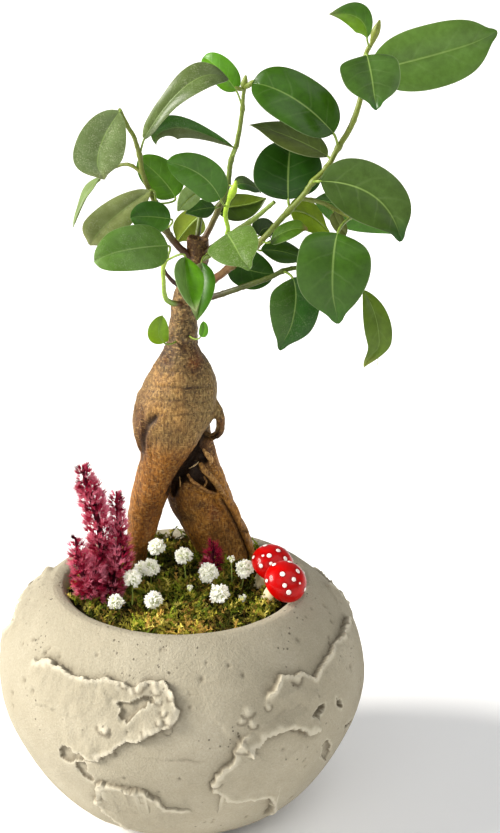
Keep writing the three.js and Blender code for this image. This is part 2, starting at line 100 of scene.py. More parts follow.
def fleckedMaterial(name, finish, grain, stops, share=0, bump=None, kind="TexNoise", detail=3, rough=0.5, stretch=1):
    # flecks of a grain in millimetres, alone or multiplied by a share over the piece's own tone
    material, tree, place = startMaterial(name)
    if stretch != 1:
        place = addNode(tree, "Mapping", {"Vector": place, "Scale": (1, 1, stretch)})
    fleck = addNode(tree, kind, {"Vector": place, "Scale": 1000 / grain, "Detail": detail, "Roughness": rough})
    color = addNode(tree, "ValToRGB", [fleck], stops)
    if share:
        tone = addNode(tree, "Attribute", attribute_name="tone")
        color = addNode(tree, "Mix", [share, tone, color], blend_type="MULTIPLY")
    return endMaterial(material, color, finish, *((fleck, *bump) if bump else ()))


def selectOnly(*pieces):
    bpy.ops.object.select_all(action="DESELECT")
    for piece in pieces:
        piece.select_set(True)
    bpy.context.view_layer.objects.active = pieces[0]


def startEdit():
    bpy.ops.object.mode_set(mode="EDIT")
    bpy.ops.mesh.select_all(action="SELECT")


def endEdit():
    # every face is turned outwards, and the piece that was edited is given back
    bpy.ops.mesh.select_all(action="SELECT")
    bpy.ops.mesh.normals_make_consistent(inside=False)
    bpy.ops.object.mode_set(mode="OBJECT")
    return bpy.context.active_object


def applyModifier(piece, kind, **settings):
    selectOnly(piece)
    modifier = piece.modifiers.new(kind.title(), kind)
    for name, value in settings.items():
        setattr(modifier, name, value)
    bpy.ops.object.modifier_apply(modifier=modifier.name)


def joinPieces(*pieces):
    selectOnly(*pieces)
    bpy.ops.object.join()
    return bpy.context.active_object


def drawRings(rings):
    # the selected ring is drawn out from ring to ring of radius and height
    for (before, low), (after, high) in zip(rings, rings[1:]):
        bpy.ops.mesh.extrude_edges_move(TRANSFORM_OT_translate={"value": (0, 0, (high - low) * mm)})
        share = after / before
        bpy.ops.transform.resize(value=(share, share, 1), center_override=(0, 0, high * mm))


def readVectors(piece, what):
    vectors = np.empty(len(piece.data.vertices) * 3)
    piece.data.vertices.foreach_get(what, vectors)
    return vectors.reshape(-1, 3)


def readPoints(piece):
    return readVectors(piece, "co") / mm


def movePoints(piece, points):
    piece.data.vertices.foreach_set("co", (np.asarray(points) * mm).ravel())
    piece.data.update()


def swell(piece, grain, high, rest=0.0):
    # soft bumps along the skin's normals, which are given back
    points = readPoints(piece)
    bumps = high * hills(points, grain, 2) + rest
    movePoints(piece, points + readVectors(piece, "normal") * bumps[:, None])
    return bumps


def storeValue(piece, name, values):
    attribute = piece.data.attributes.new(name, "FLOAT", "POINT")
    attribute.data.foreach_set("value", np.full(len(attribute.data), values, dtype=np.float32))


def storeTone(piece, colors):
    # one colour for each point, or one for them all
    attribute = piece.data.attributes.new("tone", "FLOAT_COLOR", "POINT")
    attribute.data.foreach_set("color", np.full((len(attribute.data), 4), colors, dtype=np.float32).ravel())


def stain(tone, color, share):
    # lays a colour over a tone, by a share from 0 to 1 for each point
    share = np.clip(share, 0, 1)[:, None]
    return tone * (1 - share) + (linear(color) if isinstance(color, str) else color) * share


def toneAt(share, places, colors):
    # the colour at a share, or at many, between the colours of a few places
    return np.stack([np.interp(share, places, channel) for channel in zip(*colors)], axis=-1)


def giveMaterials(piece, materials, index=0):
    piece.data.materials.clear()
    for material in materials:
        piece.data.materials.append(material)
    if index:
        piece.data.polygons.foreach_set("material_index", np.full(len(piece.data.polygons), index))


def finishPiece(piece, name, materials, node, smoothTo=0):
    # smoothTo is the sharpest edge, in degrees, that is still shaded smooth
    selectOnly(piece)
    bpy.ops.object.transform_apply(location=True, rotation=True, scale=True)
    piece.name = piece.data.name = name
    if materials:
        giveMaterials(piece, materials)
    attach(piece, "root")
    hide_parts(node)
    if smoothTo == 180:
        bpy.ops.object.shade_smooth()
    elif smoothTo:
        bpy.ops.object.shade_smooth_by_angle(angle=math.radians(smoothTo))


def scatter(name, shapes, places):
    # shapes are (points, faces); each place is (shape number, 3 x 3 turn with its scale, spot)
    points, faces, owner, start = [], [], [], 0
    for k, (which, turn, spot) in enumerate(places):
        shapePoints, shapeFaces = shapes[which]
        points.append(shapePoints @ np.asarray(turn).T + spot)
        faces.extend(tuple(start + i for i in face) for face in shapeFaces)
        owner.append(np.full(len(shapePoints), k))
        start += len(shapePoints)
    mesh = bpy.data.meshes.new(name)
    mesh.from_pydata((np.concatenate(points) * mm).tolist(), [], faces)
    piece = bpy.data.objects.new(name, mesh)
    bpy.context.scene.collection.objects.link(piece)
    return piece, np.concatenate(owner)


def turnTo(direction, spin=0.0):
    # the turn that stands +Z along a direction, after a spin about Z
    lean = Vector((0, 0, 1)).rotation_difference(Vector(direction).normalized())
    return np.array((lean @ Quaternion((0, 0, 1), spin)).to_matrix())


def through(rows, t):
    # a smooth curve through rows of numbers, at t from 0 to 1
    place = min(max(t, 0), 1) * (len(rows) - 1)
    first = min(int(place), len(rows) - 2)
    f = place - first
    a, b, c, d = (np.array(rows[min(max(first + step, 0), len(rows) - 1)], float) for step in (-1, 0, 1, 2))
    return b + 0.5 * f * (c - a + f * (2 * a - 5 * b + 4 * c - d + f * (3 * (b - c) + d - a)))


def evenly(rows, step):
    # rows along a smooth curve, about a step of millimetres apart
    dense = [through(rows, t) for t in np.linspace(0, 1, len(rows) * 24)]
    run = np.r_[0, np.cumsum([np.linalg.norm(b[:3] - a[:3]) for a, b in zip(dense, dense[1:])])]
    marks = np.linspace(0, run[-1], max(3, int(run[-1] / step)) + 1)
    return np.array([np.interp(marks, run, column) for column in np.array(dense).T]).T


def smooth(low, high, values):
    f = np.clip((values - low) / (high - low), 0, 1)
    return f * f * (3 - 2 * f)


def bell(values, middle, wide):
    return np.exp(-((values - middle) / wide) ** 2)


chance = np.random.default_rng(11)
hillTable = np.random.default_rng(7).random((32, 32, 32)) * 2 - 1


def hills(points, grain, layers=1):
    # soft random hills and hollows, about one grain apart, from -1 to 1
    points = np.asarray(points, float) / np.asarray(grain, float)
    total, strength = np.zeros(len(points)), 1.0
    for layer in range(layers):
        low = np.floor(points).astype(int)
        f = points - low
        f = f * f * (3 - 2 * f)
        for corner in itertools.product((0, 1), repeat=3):
            weight = np.prod(np.where(corner, f, 1 - f), axis=1)
            i = (low + corner + 5 * layer) % 32
            total += strength * weight * hillTable[i[:, 0], i[:, 1], i[:, 2]]
        points, strength = points * 2.03 + 3.7, strength / 2
    return total


def besideLine(places, line):
    # distance from each place on a flat sheet to a line, positive on its left, the nearest spot and its share
    line = np.asarray(line, float)
    best = np.full(len(places), 1e9)
    signed, share, nearest = best * 0, best * 0, np.zeros((len(places), 2))
    lengths = np.r_[0, np.cumsum(np.linalg.norm(np.diff(line, axis=0), axis=1))]
    for k, (a, b) in enumerate(zip(line, line[1:])):
        step = b - a
        long = np.linalg.norm(step)
        f = np.clip(((places - a) @ step) / long ** 2, 0, 1)
        spot = a + f[:, None] * step
        away = np.linalg.norm(places - spot, axis=1)
        across = (step[0] * (places[:, 1] - a[1]) - step[1] * (places[:, 0] - a[0])) / long
        score = away - 1e-3 * np.abs(across)
        closer = score < best
        best[closer] = score[closer]
        signed[closer] = (np.sign(across) * away)[closer]
        nearest[closer] = spot[closer]
        share[closer] = ((lengths[k] + f * long) / lengths[-1])[closer]
    return signed, nearest, share


def insideLoop(places, loop):
    loop = np.asarray(loop, float)
    inside = np.zeros(len(places), bool)
    for (x0, y0), (x1, y1) in zip(loop, np.roll(loop, -1, axis=0)):
        crosses = (y0 > places[:, 1]) != (y1 > places[:, 1])
        inside ^= crosses & (places[:, 0] < x0 + (x1 - x0) * (places[:, 1] - y0) / (y1 - y0 + 1e-12))
    return inside


def growRound(points, sides=10):
    # a round limb: a curve with a bevel, through points of x, y, z and radius, made a mesh with closed ends
    curve = bpy.data.curves.new("limb", "CURVE")
    curve.dimensions = "3D"
    curve.bevel_depth = mm
    curve.bevel_resolution = (sides - 4) // 2
    curve.use_fill_caps = True
    spline = curve.splines.new("POLY")
    spline.points.add(len(points) - 1)
    for spot, (x, y, z, radius) in zip(spline.points, points):
        spot.co = (x * mm, y * mm, z * mm, 1)
        spot.radius = max(radius, 0.05)
    limb = bpy.data.objects.new("limb", curve)
    bpy.context.scene.collection.objects.link(limb)
    selectOnly(limb)
    bpy.ops.object.convert(target="MESH")
    startEdit()
    bpy.ops.mesh.remove_doubles(threshold=1e-6)
    return endEdit()


# Camera, light and floor

camera = {"place": (30.2, -875.0, 517.9), "pitch": 21, "focalPixels": 2200, "imageHeight": 833, "sensor": 36}
light = {
    # a wide soft sun from the left, and faint ones from the front and the right that even out the floor:
    # where it stands, softness in degrees, strength and colour
    "suns": [((-0.93, -0.12, 0.5), 28, 7.0, "#FFFBF4"), ((-0.25, -0.75, 0.6), 36, 0.3, "#FFFFFF"),
             ((0.6, -0.4, 0.8), 60, 1.25, "#FFFFFF")],
    "worldStrength": 0.31, "floor": "#FCFCFC", "floorSize": 14,
}


def makeStage():
    scene = bpy.context.scene
    scene.view_settings.view_transform = "Standard"
    pitch = math.radians(90 - camera["pitch"])
    bpy.ops.object.camera_add(location=Vector(camera["place"]) * mm, rotation=(pitch, 0, 0))
    scene.camera = bpy.context.active_object
    eye = scene.camera.data
    eye.sensor_width, eye.lens = camera["sensor"], camera["focalPixels"] / camera["imageHeight"] * camera["sensor"]
    eye.clip_start, eye.clip_end = 0.01, 50
    for towards, softness, strength, color in light["suns"]:
        facing = Vector(towards).to_track_quat("Z", "Y").to_euler()
        bpy.ops.object.light_add(type="SUN", location=(0, 0, 2), rotation=facing)
        sun = bpy.context.active_object.data
        sun.angle, sun.energy, sun.color = math.radians(softness), strength, linear(color)[:3]
    scene.world = bpy.data.worlds.new("softStudio")
    scene.world.use_nodes = True
    tree = scene.world.node_tree
    tree.nodes.clear()
    glow = addNode(tree, "Background", {"Color": "#FFFFFF", "Strength": light["worldStrength"]})
    addNode(tree, "OutputWorld", {"Surface": glow})
    bpy.ops.mesh.primitive_plane_add(size=light["floorSize"])
    floor = bpy.context.active_object
    floor.name = "studioFloor"
    # Matte paper roll, as studios use: near white, with the faintest drift of tone.
    giveMaterials(floor, [fleckedMaterial(
        "matteStudioPaper", {"Roughness": 0.9}, 500, [(0.3, light["floor"]), (0.7, "#FFFFFF")], detail=2)])


makeStage()
print("stage made")


# The bowl: thick concrete, cast round and then flaked by hand, so thin plates lie on it with broken edges.

bowl = {
    "columns": 112, "rings": 26, "keepFaces": 0.48,
    "outside": [
        (36, 0), (40, 0.8), (47, 4.5), (55.5, 10.5), (65, 21.5), (72.5, 35), (78.5, 49), (80.5, 61), (79.8, 71),
        (76.6, 82), (71, 91), (66, 97), (61, 101.5), (56.8, 104.6), (53, 106), (50.4, 105), (49, 102), (48.6, 96),
    ],
    "inside": [(50, 88), (56, 75), (60, 60), (58, 42), (50, 28), (36, 20), (18, 18)],
    # the skin is laid out flat at this radius, and the front's plates come again so many degrees round
    "around": 78, "backTurn": 168,
    "swells": 0.45, "ragged": 1.5, "undercut": 0.5, "edgeHeight": 1.2, "recessDepth": 1.3, "crackDepth": 0.35,
    "crumbHeight": 0.9, "crumbliness": 0.5, "pinholes": 120, "pinholeSizes": (0.7, 1.5), "pinholeDepth": 0.6,
}

# Edges of the plates, as degrees round from the front and height. The raised side is on the left of the way
# that a line is written; then how high it stands, and how fast it fades away from the edge.
plateEdges = [
    ([(-37, 58), (-33, 59), (-30, 58), (-25, 58), (-21, 62), (-18, 65), (-15, 68), (-11, 71), (-8, 73), (-5, 75),
      (-1, 76), (1, 81), (0, 86), (-1, 89), (-5, 91), (-9, 92), (-12, 90), (-16, 90), (-19, 90), (-23, 91),
      (-26, 90), (-32, 89), (-36, 89), (-43, 90), (-47, 90), (-53, 89), (-59, 86)], 1.8, 16),
    ([(-20, 11), (-24, 19), (-28, 25), (-30, 32), (-28, 36), (-26, 42), (-23, 45), (-20, 46), (-15, 44), (-11, 43),
      (-9, 41), (-6, 38), (-5, 35), (-1, 34), (2, 33), (6, 30)][::-1], 1.8, 13),
    ([(90, 88), (79, 90), (72, 90), (64, 90), (58, 87), (52, 86), (48, 84), (44, 87), (40, 87), (36, 88), (34, 87),
      (31, 85), (28, 82)], 2.0, 11),
    ([(20, 61), (22, 63), (25, 64), (27, 67), (30, 68), (33, 68), (36, 68), (39, 66), (41, 62), (44, 62),
      (48, 62)], 2.3, 9),
    ([(36, 16), (36, 23), (33, 29), (32, 33), (26, 36), (21, 37), (16, 38), (12, 44), (11, 49), (12, 53), (15, 57),
      (17, 61), (18, 66), (19, 69), (23, 70)][::-1], 2.0, 11),
    ([(-108, 103), (-107, 96), (-102, 91), (-95, 90), (-88, 88), (-83, 88), (-91, 76)], 1.8, 14),
    ([(105, 82), (105, 88), (101, 94), (98, 99)], 1.5, 9),
]
# Patches where a flake has come off, as loops of degrees and height, with how deep they are.
recesses = [
    ([(-20, 83), (-16, 85), (-12, 86), (-8, 87), (-7, 85), (-9, 84), (-11, 82), (-13, 79), (-15, 77), (-17, 78),
      (-18, 81)], 1.3),
    ([(-38, 57), (-33, 60), (-30, 59), (-25, 59), (-24, 57), (-27, 55), (-33, 53), (-36, 52), (-38, 54)], 1.4),
    ([(-32, 53), (-28, 54), (-29, 49), (-26, 45), (-28, 43), (-31, 45), (-33, 50)], 1.0),
    ([(56, 70), (59, 67), (58, 64), (56, 66)], 2.0),
    ([(43.5, 68.5), (46, 71.5), (50.5, 72), (50.5, 69.5), (46, 66.5)], 2.4),
    ([(63, 53), (73, 51), (72, 49), (64, 50)], 1.8),
    ([(51, 53), (56, 47), (60, 40), (67, 38), (66, 35), (58, 37), (53, 44), (49, 51)], 1.1),
]
# Fine cracks, and crumbs that stick to the wall.
cracks = [
    [(-16, 64), (-11, 62.6), (-7, 62.4), (-3, 61.2), (2, 61), (5, 59.8), (9, 59.6)],
    [(-25, 21), (-22, 15)],
    [(30, 74), (34, 76), (41, 76)],
]
crumbs = [
    (-7, 89), (-1, 87), (-12, 90), (-17, 90), (-9, 74), (-5, 78), (-3, 75), (22, 79), (20, 76), (23, 74), (29, 80),
    (19, 65), (-22, 73), (-21, 72), (-27, 38), (-16, 44), (12, 49), (41, 86), (-4, 82), (-2, 79), (-6, 86),
]


def pickRing(wall, height):
    # selects the open edge of the wall at a height, and leaves it in edit mode
    selectOnly(wall)
    bpy.ops.object.mode_set(mode="EDIT")
    bpy.ops.mesh.select_mode(type="VERT")
    bpy.ops.mesh.select_all(action="DESELECT")
    bpy.ops.object.mode_set(mode="OBJECT")
    x, y, z = readPoints(wall).T
    chosen = np.abs(z - height) < 0.02
    if height:
        chosen &= np.hypot(x, y) < bowl["outside"][-1][0] + 0.4
    wall.data.vertices.foreach_set("select", chosen)
    bpy.ops.object.mode_set(mode="EDIT")


def castBowl():
    outside = [tuple(through(bowl["outside"], t)) for t in np.linspace(0, 1, 400)]
    run = np.r_[0, np.cumsum([math.dist(a, b) for a, b in zip(outside, outside[1:])])]
    radii, heights = np.array(outside).T
    marks = np.linspace(0, run[-1], bowl["rings"] + 1)
    rings = list(zip(np.interp(marks, run, radii), np.interp(marks, run, heights)))
    bpy.ops.mesh.primitive_circle_add(vertices=bowl["columns"], radius=rings[0][0] * mm, location=(0, 0, 0))
    wall = bpy.context.active_object
    startEdit()
    drawRings(rings)
    bpy.ops.object.mode_set(mode="OBJECT")
    applyModifier(wall, "SUBSURF", levels=3, render_levels=3)
    for first, others in ((bowl["outside"][-1], bowl["inside"]), (bowl["outside"][0], [(18, 0)])):
        pickRing(wall, first[1])
        drawRings([first] + others)
        bpy.ops.mesh.extrude_edges_move(TRANSFORM_OT_translate={"value": (0, 0, 0)})
        bpy.ops.mesh.merge(type="CENTER")
        bpy.ops.object.mode_set(mode="OBJECT")
    selectOnly(wall)
    startEdit()
    endEdit()
    return wall, run, radii, heights


def flakeBowl(wall, run, radii, heights):
    points = readPoints(wall)
    inner = np.interp(points[:, 2], [0, 20, 60, 96, 106], [36, 36, 60, 49, 51.5])
    outer = np.flatnonzero((np.hypot(points[:, 0], points[:, 1]) > inner + 1.5) & (points[:, 2] > 0.4))
    x, y, z = points[outer].T
    turn, around, top = np.arctan2(x, -y), bowl["around"], heights.argmax()
    rise = np.interp(z, heights[:top], run[:top])

    def onSheet(line):
        return [(math.radians(angle) * around, np.interp(high, heights[:top], run[:top])) for angle, high in line]

    sheet = np.c_[turn * around, rise]
    spots = np.c_[around * np.sin(turn), around * np.cos(turn), rise]
    ragged = np.c_[
        hills(spots, 7, 2) * bowl["ragged"] + hills(spots + 50, 2.6, 2) * bowl["ragged"] / 2,
        hills(spots + 20, 7, 2) * bowl["ragged"] + hills(spots + 90, 2.6, 2) * bowl["ragged"] / 2]
    height = bowl["swells"] * hills(spots, 34, 2) + 0.12 * hills(spots, 8) + 0.05 * hills(spots, 2.4, 2)
    # painted shade below the raised plate edges, in recesses, cracks and pinholes and under crumbs; painted highlight
    # along raised rims and on crumbs
    paintedShade, paintedHighlight, drift = np.zeros(len(sheet)), np.zeros(len(sheet)), np.zeros(sheet.shape)
    cover = smooth(3, 9, z) * smooth(105, 101, z)
    for shift in (0, bowl["backTurn"]):
        # the sheet is turned so that its seam lies opposite to the plates that are being raised
        seen = sheet.copy()
        if shift:
            half = math.pi * around
            seen[:, 0] = (seen[:, 0] - math.radians(shift) * around + half) % (2 * half) - half
        warped = seen + ragged
        for line, high, fade in plateEdges[:5] if shift else plateEdges:
            away, nearest, share = besideLine(warped, onSheet(line))
            ends = smooth(0, 0.07, share) * smooth(1, 0.93, share)
            step = smooth(-0.55, 0.5, away)
            lump = 1 + 0.4 * hills(spots + 30, 5, 2)
            edge = bowl["edgeHeight"] * high * np.exp(-np.abs(away) / fade) + 0.25 * bell(away, 1, 1)
            height += ends * step * lump * edge
            height -= ends * (1 - step) * 0.4 * np.exp(np.minimum(away, 0) / 3)
            paintedShade = np.maximum(paintedShade, ends * (1 - step) * np.exp(np.minimum(away + 0.3, 0) / 0.9))
            paintedHighlight = np.maximum(paintedHighlight, ends * step * bell(away, 1, 0.9))
            gone = np.linalg.norm(nearest - warped, axis=1)[:, None] + 1e-6
            lean = bowl["undercut"] * bell(away, 0.6, 0.6) * step * ends
            drift += (nearest - warped) / gone * lean[:, None]
        for loop, deep in recesses:
            away = np.abs(besideLine(warped, onSheet(loop + loop[:1]))[0])
            within = insideLoop(warped, onSheet(loop))
            height -= bowl["recessDepth"] * deep * within * smooth(-0.3, 0.9, away)
            paintedShade = np.maximum(paintedShade, within * np.exp(-away / 1.4))
            paintedHighlight = np.maximum(paintedHighlight, ~within * 0.7 * bell(away, 0, 0.8))
        for line in cracks:
            away, _, share = besideLine(seen + 0.6 * ragged, onSheet(line))
            faint = smooth(0, 0.1, share) * smooth(1, 0.9, share) * (0.55 + 0.45 * hills(spots + 60, 5))
            height -= bowl["crackDepth"] * faint * bell(away, 0, 0.6)
            paintedShade = np.maximum(paintedShade, 0.55 * faint * bell(away, 0, 0.5))
        for k, spot in enumerate(onSheet(crumbs)):
            size = 1.2 + 0.9 * ((k * 7) % 5) / 5
            away = np.linalg.norm(seen + 0.7 * ragged - spot, axis=1) / size
            height += bowl["crumbHeight"] * bell(away, 0, 1) * (0.6 + 0.4 * ((k * 3) % 4) / 3)
            paintedHighlight = np.maximum(paintedHighlight, 0.8 * bell(away, 0, 1))
            paintedShade = np.maximum(paintedShade, 0.8 * bell(away, 1.5, 0.35) * (seen[:, 1] < spot[1]))
    # pinholes that air bubbles left, more of them near the lip, each darkened with painted shade
    for k in range(bowl["pinholes"]):
        angle, level = chance.uniform(-180, 180), chance.choice([chance.uniform(12, 100), chance.uniform(86, 103)])
        size = chance.uniform(*bowl["pinholeSizes"])
        away = np.linalg.norm(sheet - onSheet([(angle, level)])[0], axis=1) / size
        height -= bowl["pinholeDepth"] * size * bell(away, 0, 1)
        paintedShade = np.maximum(paintedShade, 0.7 * bell(away, 0, 0.75))
    # broken edges are crumbly
    crumbly = np.clip(paintedShade + paintedHighlight, 0, 1)
    height = (height + crumbly * (bowl["crumbliness"] * hills(spots + 11, 1.7, 2) - 0.1)) * cover
    turn, rise = (sheet + drift * cover[:, None]).T
    turn = turn / around
    slopeOut, slopeUp = (np.interp(rise + 0.6, run, column) - np.interp(rise - 0.6, run, column)
                         for column in (radii, heights))
    slope = np.hypot(slopeOut, slopeUp) + 1e-9
    radius = np.interp(rise, run, radii) + height * slopeUp / slope
    level = np.interp(rise, run, heights) - height * slopeOut / slope
    points[outer] = np.c_[radius * np.sin(turn), -radius * np.cos(turn), np.maximum(level, 0)]
    lip = np.setdiff1d(np.flatnonzero(points[:, 2] > 92), outer)
    points[lip, 2] += 0.25 * hills(points[lip], 9, 2)
    movePoints(wall, points)
    # the painted shade and painted highlight are kept on the points for the material
    for name, values in (("creviceShade", paintedShade), ("ridgeHighlight", paintedHighlight)):
        marks = np.zeros(len(points))
        marks[outer] = np.clip(values * cover, 0, 1)
        storeValue(wall, name, marks)
    applyModifier(wall, "DECIMATE", ratio=bowl["keepFaces"])


def castConcrete():
    # Cream concrete, cast and left raw: matte and sandy, with fine grains and pinholes; painted shade darkens the
    # pinholes and the low sides of the broken edges, and painted highlight lightens their raised rims.
    material, tree, place = startMaterial("castConcrete")
    broad = addNode(tree, "TexNoise", {"Vector": place, "Scale": 1000 / 45, "Detail": 5, "Roughness": 0.6})
    tone = addNode(tree, "ValToRGB", [broad], [(0.28, "#98917E"), (0.5, "#A39C89"), (0.72, "#AFA896")])
    # sand of 0.3 mm, drawn at 0.9 mm so that it shows
    sand = addNode(tree, "TexNoise", {"Vector": place, "Scale": 1000 / 0.9, "Detail": 3, "Roughness": 0.7})
    grain = addNode(tree, "ValToRGB", [sand], [(0.25, "#AFA893"), (0.5, "#D8D2C2"), (0.75, "#FFFFFF")])
    tone = addNode(tree, "Mix", [0.38, tone, grain], blend_type="MULTIPLY")
    patch = addNode(tree, "TexNoise", {"Vector": place, "Scale": 1000 / 14, "Detail": 3})
    # pinholes a few millimetres apart and under a millimetre wide, darkened with painted shade
    cells = addNode(tree, "TexVoronoi", {"Vector": place, "Scale": 1000 / 2.7})
    uneven = addNode(tree, "TexNoise", {"Vector": place, "Scale": 1000 / 3.3})
    reach = addNode(tree, "Math", [uneven, 0.6, cells], operation="MULTIPLY_ADD")
    pit = addNode(tree, "MapRange", [reach, 0.36, 0.46, 1, 0])
    # more of them near the lip, where the air rose
    level = addNode(tree, "SeparateXYZ", [place]).outputs[2]
    raised = addNode(tree, "MapRange", [level, 0.084, 0.1, 0, 0.16])
    thin = addNode(tree, "TexNoise", {"Vector": place, "Scale": 1000 / 22})
    crowd = addNode(tree, "Math", [thin, raised], operation="ADD")
    some = addNode(tree, "MapRange", [crowd, 0.58, 0.64])
    pits = addNode(tree, "Math", [pit, some], operation="MULTIPLY")
    # the pinholes and crevices get painted shade, the ridges painted highlight
    tone = layTones(tree, tone, [
        (addNode(tree, "MapRange", [patch, 0.5, 0.75]), 0.22, "#988E76"),
        (pits, 0.75, "#4E4636"),
        (addNode(tree, "Attribute", attribute_name="ridgeHighlight").outputs["Fac"], 0.5, "#D6CEB9"),
        (addNode(tree, "Attribute", attribute_name="creviceShade").outputs["Fac"], 0.85, "#554A36")])
    coarse = addNode(tree, "TexNoise", {"Vector": place, "Scale": 1000 / 2.6, "Detail": 4, "Roughness": 0.65})
    relief = addNode(tree, "Math", [coarse, sand], operation="ADD")
    relief = addNode(tree, "Math", [relief, pits], operation="SUBTRACT")
    return endMaterial(material, tone, {"Roughness": 0.92, "IOR": 1.5}, relief, 0.8, 0.6)


def makeBowl():
    wall, *outline = castBowl()
    flakeBowl(wall, *outline)
    finishPiece(wall, "bowlCast", [castConcrete()], "bowl", smoothTo=50)


makeBowl()
print("bowl cast and flaked")


# The trunk: one grown piece of cut stump, neck, bulb, two legs, side roots and a hanging loop.

trunk = {"voxel": 0.62, "tone": "#94703C", "stump": (8.3, 17, 256), "hollowDepth": 4.2}
bulbAndFrontLeg = [
    (-21, 23, 84, 2.4, 2.4), (-21, 22.5, 97, 3.2, 3.2), (-20.6, 22, 105, 4, 4.2), (-19.5, 21, 113, 5, 5.5),
    (-18, 20, 120, 6.2, 6.5), (-16, 18, 130, 7.4, 7.6), (-13.3, 16, 140, 8.6, 8.6), (-9.5, 15, 151, 9.9, 9.8),
    (-6.3, 14, 159, 11.5, 11), (-5.2, 14, 165, 14, 12.5), (-3.8, 15, 172, 16.7, 14), (-2.5, 16, 178, 18, 15),
    (-1.2, 17, 185, 17.3, 15.2), (0.3, 18, 192, 15.2, 14), (0.9, 18, 198, 12.5, 12), (0.8, 18, 203, 10, 10),
    (0.6, 18, 207, 8, 8.4), (1.2, 18, 212, 6.4, 6.8), (2, 18, 221, 5.5, 5.8), (3.2, 17, 228, 5.8, 5.8),
    (4.7, 17, 235, 5.6, 5.6), (7.2, 17, 243, 4.8, 4.8), (8.1, 17, 250, 4.6, 4.6), (8.3, 17, 257, 4.4, 4.4),
]
backLeg = [
    (20, 30, 84, 7, 6), (20, 30, 96, 11, 9), (19.5, 30, 103, 12.8, 10), (17.9, 30, 109, 13.3, 10.5),
    (14.8, 29, 116, 14.1, 11), (12.1, 28, 123, 14.1, 11.5), (7.8, 27, 133, 14.5, 12), (5.7, 25, 145, 12.6, 11.5),
    (4.1, 23, 156, 11.2, 11), (3.5, 22, 162, 10.5, 10.5), (2, 19, 180, 9, 9),
]
sideRoots = [
    [(11, 20, 160, 3.4), (16.5, 18, 141, 4), (23, 21, 126, 3.6), (28.5, 24, 110, 3), (30, 26, 101, 2.8),
     (30, 27, 90, 2.4)],
    [(11, 19, 186, 2), (16, 14, 181, 2.2), (17.6, 13, 175, 2.2), (16.5, 14, 169, 2), (11, 19, 164, 1.6)],
    [(-1, 17, 151, 1.4), (8, 14.5, 143, 1.6), (16, 18.5, 137, 1.3)],
]
# Finer roots that hang in the hollow between the legs, and a broken stub: tone, then x, y, z, radius.
fineRoots = [
    ("#A98550", [(8.5, 13.4, 155.1, 0.9), (10.2, 12, 152.3, 1.25), (13.9, 12.4, 148, 1.35), (16.7, 13.6, 143.3, 1.2),
                 (19.3, 15.6, 138.5, 0.7)]),
    ("#A07A48", [(2.9, 13.8, 149.7, 0.5), (5.1, 12.4, 146.9, 0.75), (8.4, 12.4, 144.5, 0.8), (11.6, 13, 142.1, 0.8),
                 (15.3, 14.6, 140.2, 0.5)]),
    ("#D0AE7C", [(9.6, 13, 161.9, 0.5), (11.8, 11.8, 159.5, 1.15), (13.3, 11.8, 157.2, 1.1),
                 (12.4, 12.8, 154.4, 0.6)]),
    ("#9A7A4A", [(10.1, 13, 149, 0.4), (11.2, 12.2, 146.6, 0.5), (10.1, 12.8, 144.5, 0.4)]),
    ("#D8CDB4", [(3.6, 14, 152.4, 0.25), (5.8, 12, 154.4, 0.3), (7.8, 12.8, 156, 0.25)]),
    ("#B09468", [(-0.6, 14, 148.4, 0.25), (-0.4, 15, 144.3, 0.3), (-0.9, 19.5, 140.8, 0.25)]),
    ("#8A6A3C", [(25.8, 20, 121, 1.2), (28, 19.5, 120.5, 0.9), (29.4, 19, 119.6, 0.6)]),
]
# The hollow behind those roots, seen from the front: x, z. It is pushed back and darkened with painted shade.
trunkHollow = [
    (10.3, 169), (8.3, 163), (3, 155), (-1.5, 147), (-5.5, 140.5), (-5.8, 137.5), (-4.5, 136), (-2.7, 136.5),
    (-0.4, 143.4), (2.2, 145.7), (5.3, 145), (8.3, 143.6), (12.3, 140.8), (16, 139.8), (14.9, 143.4), (12.3, 148.1),
    (8.4, 151.7), (8.4, 154.5), (11, 154), (12.8, 156.4), (11.7, 159.2), (9.8, 162.2), (10.7, 165.3),
]
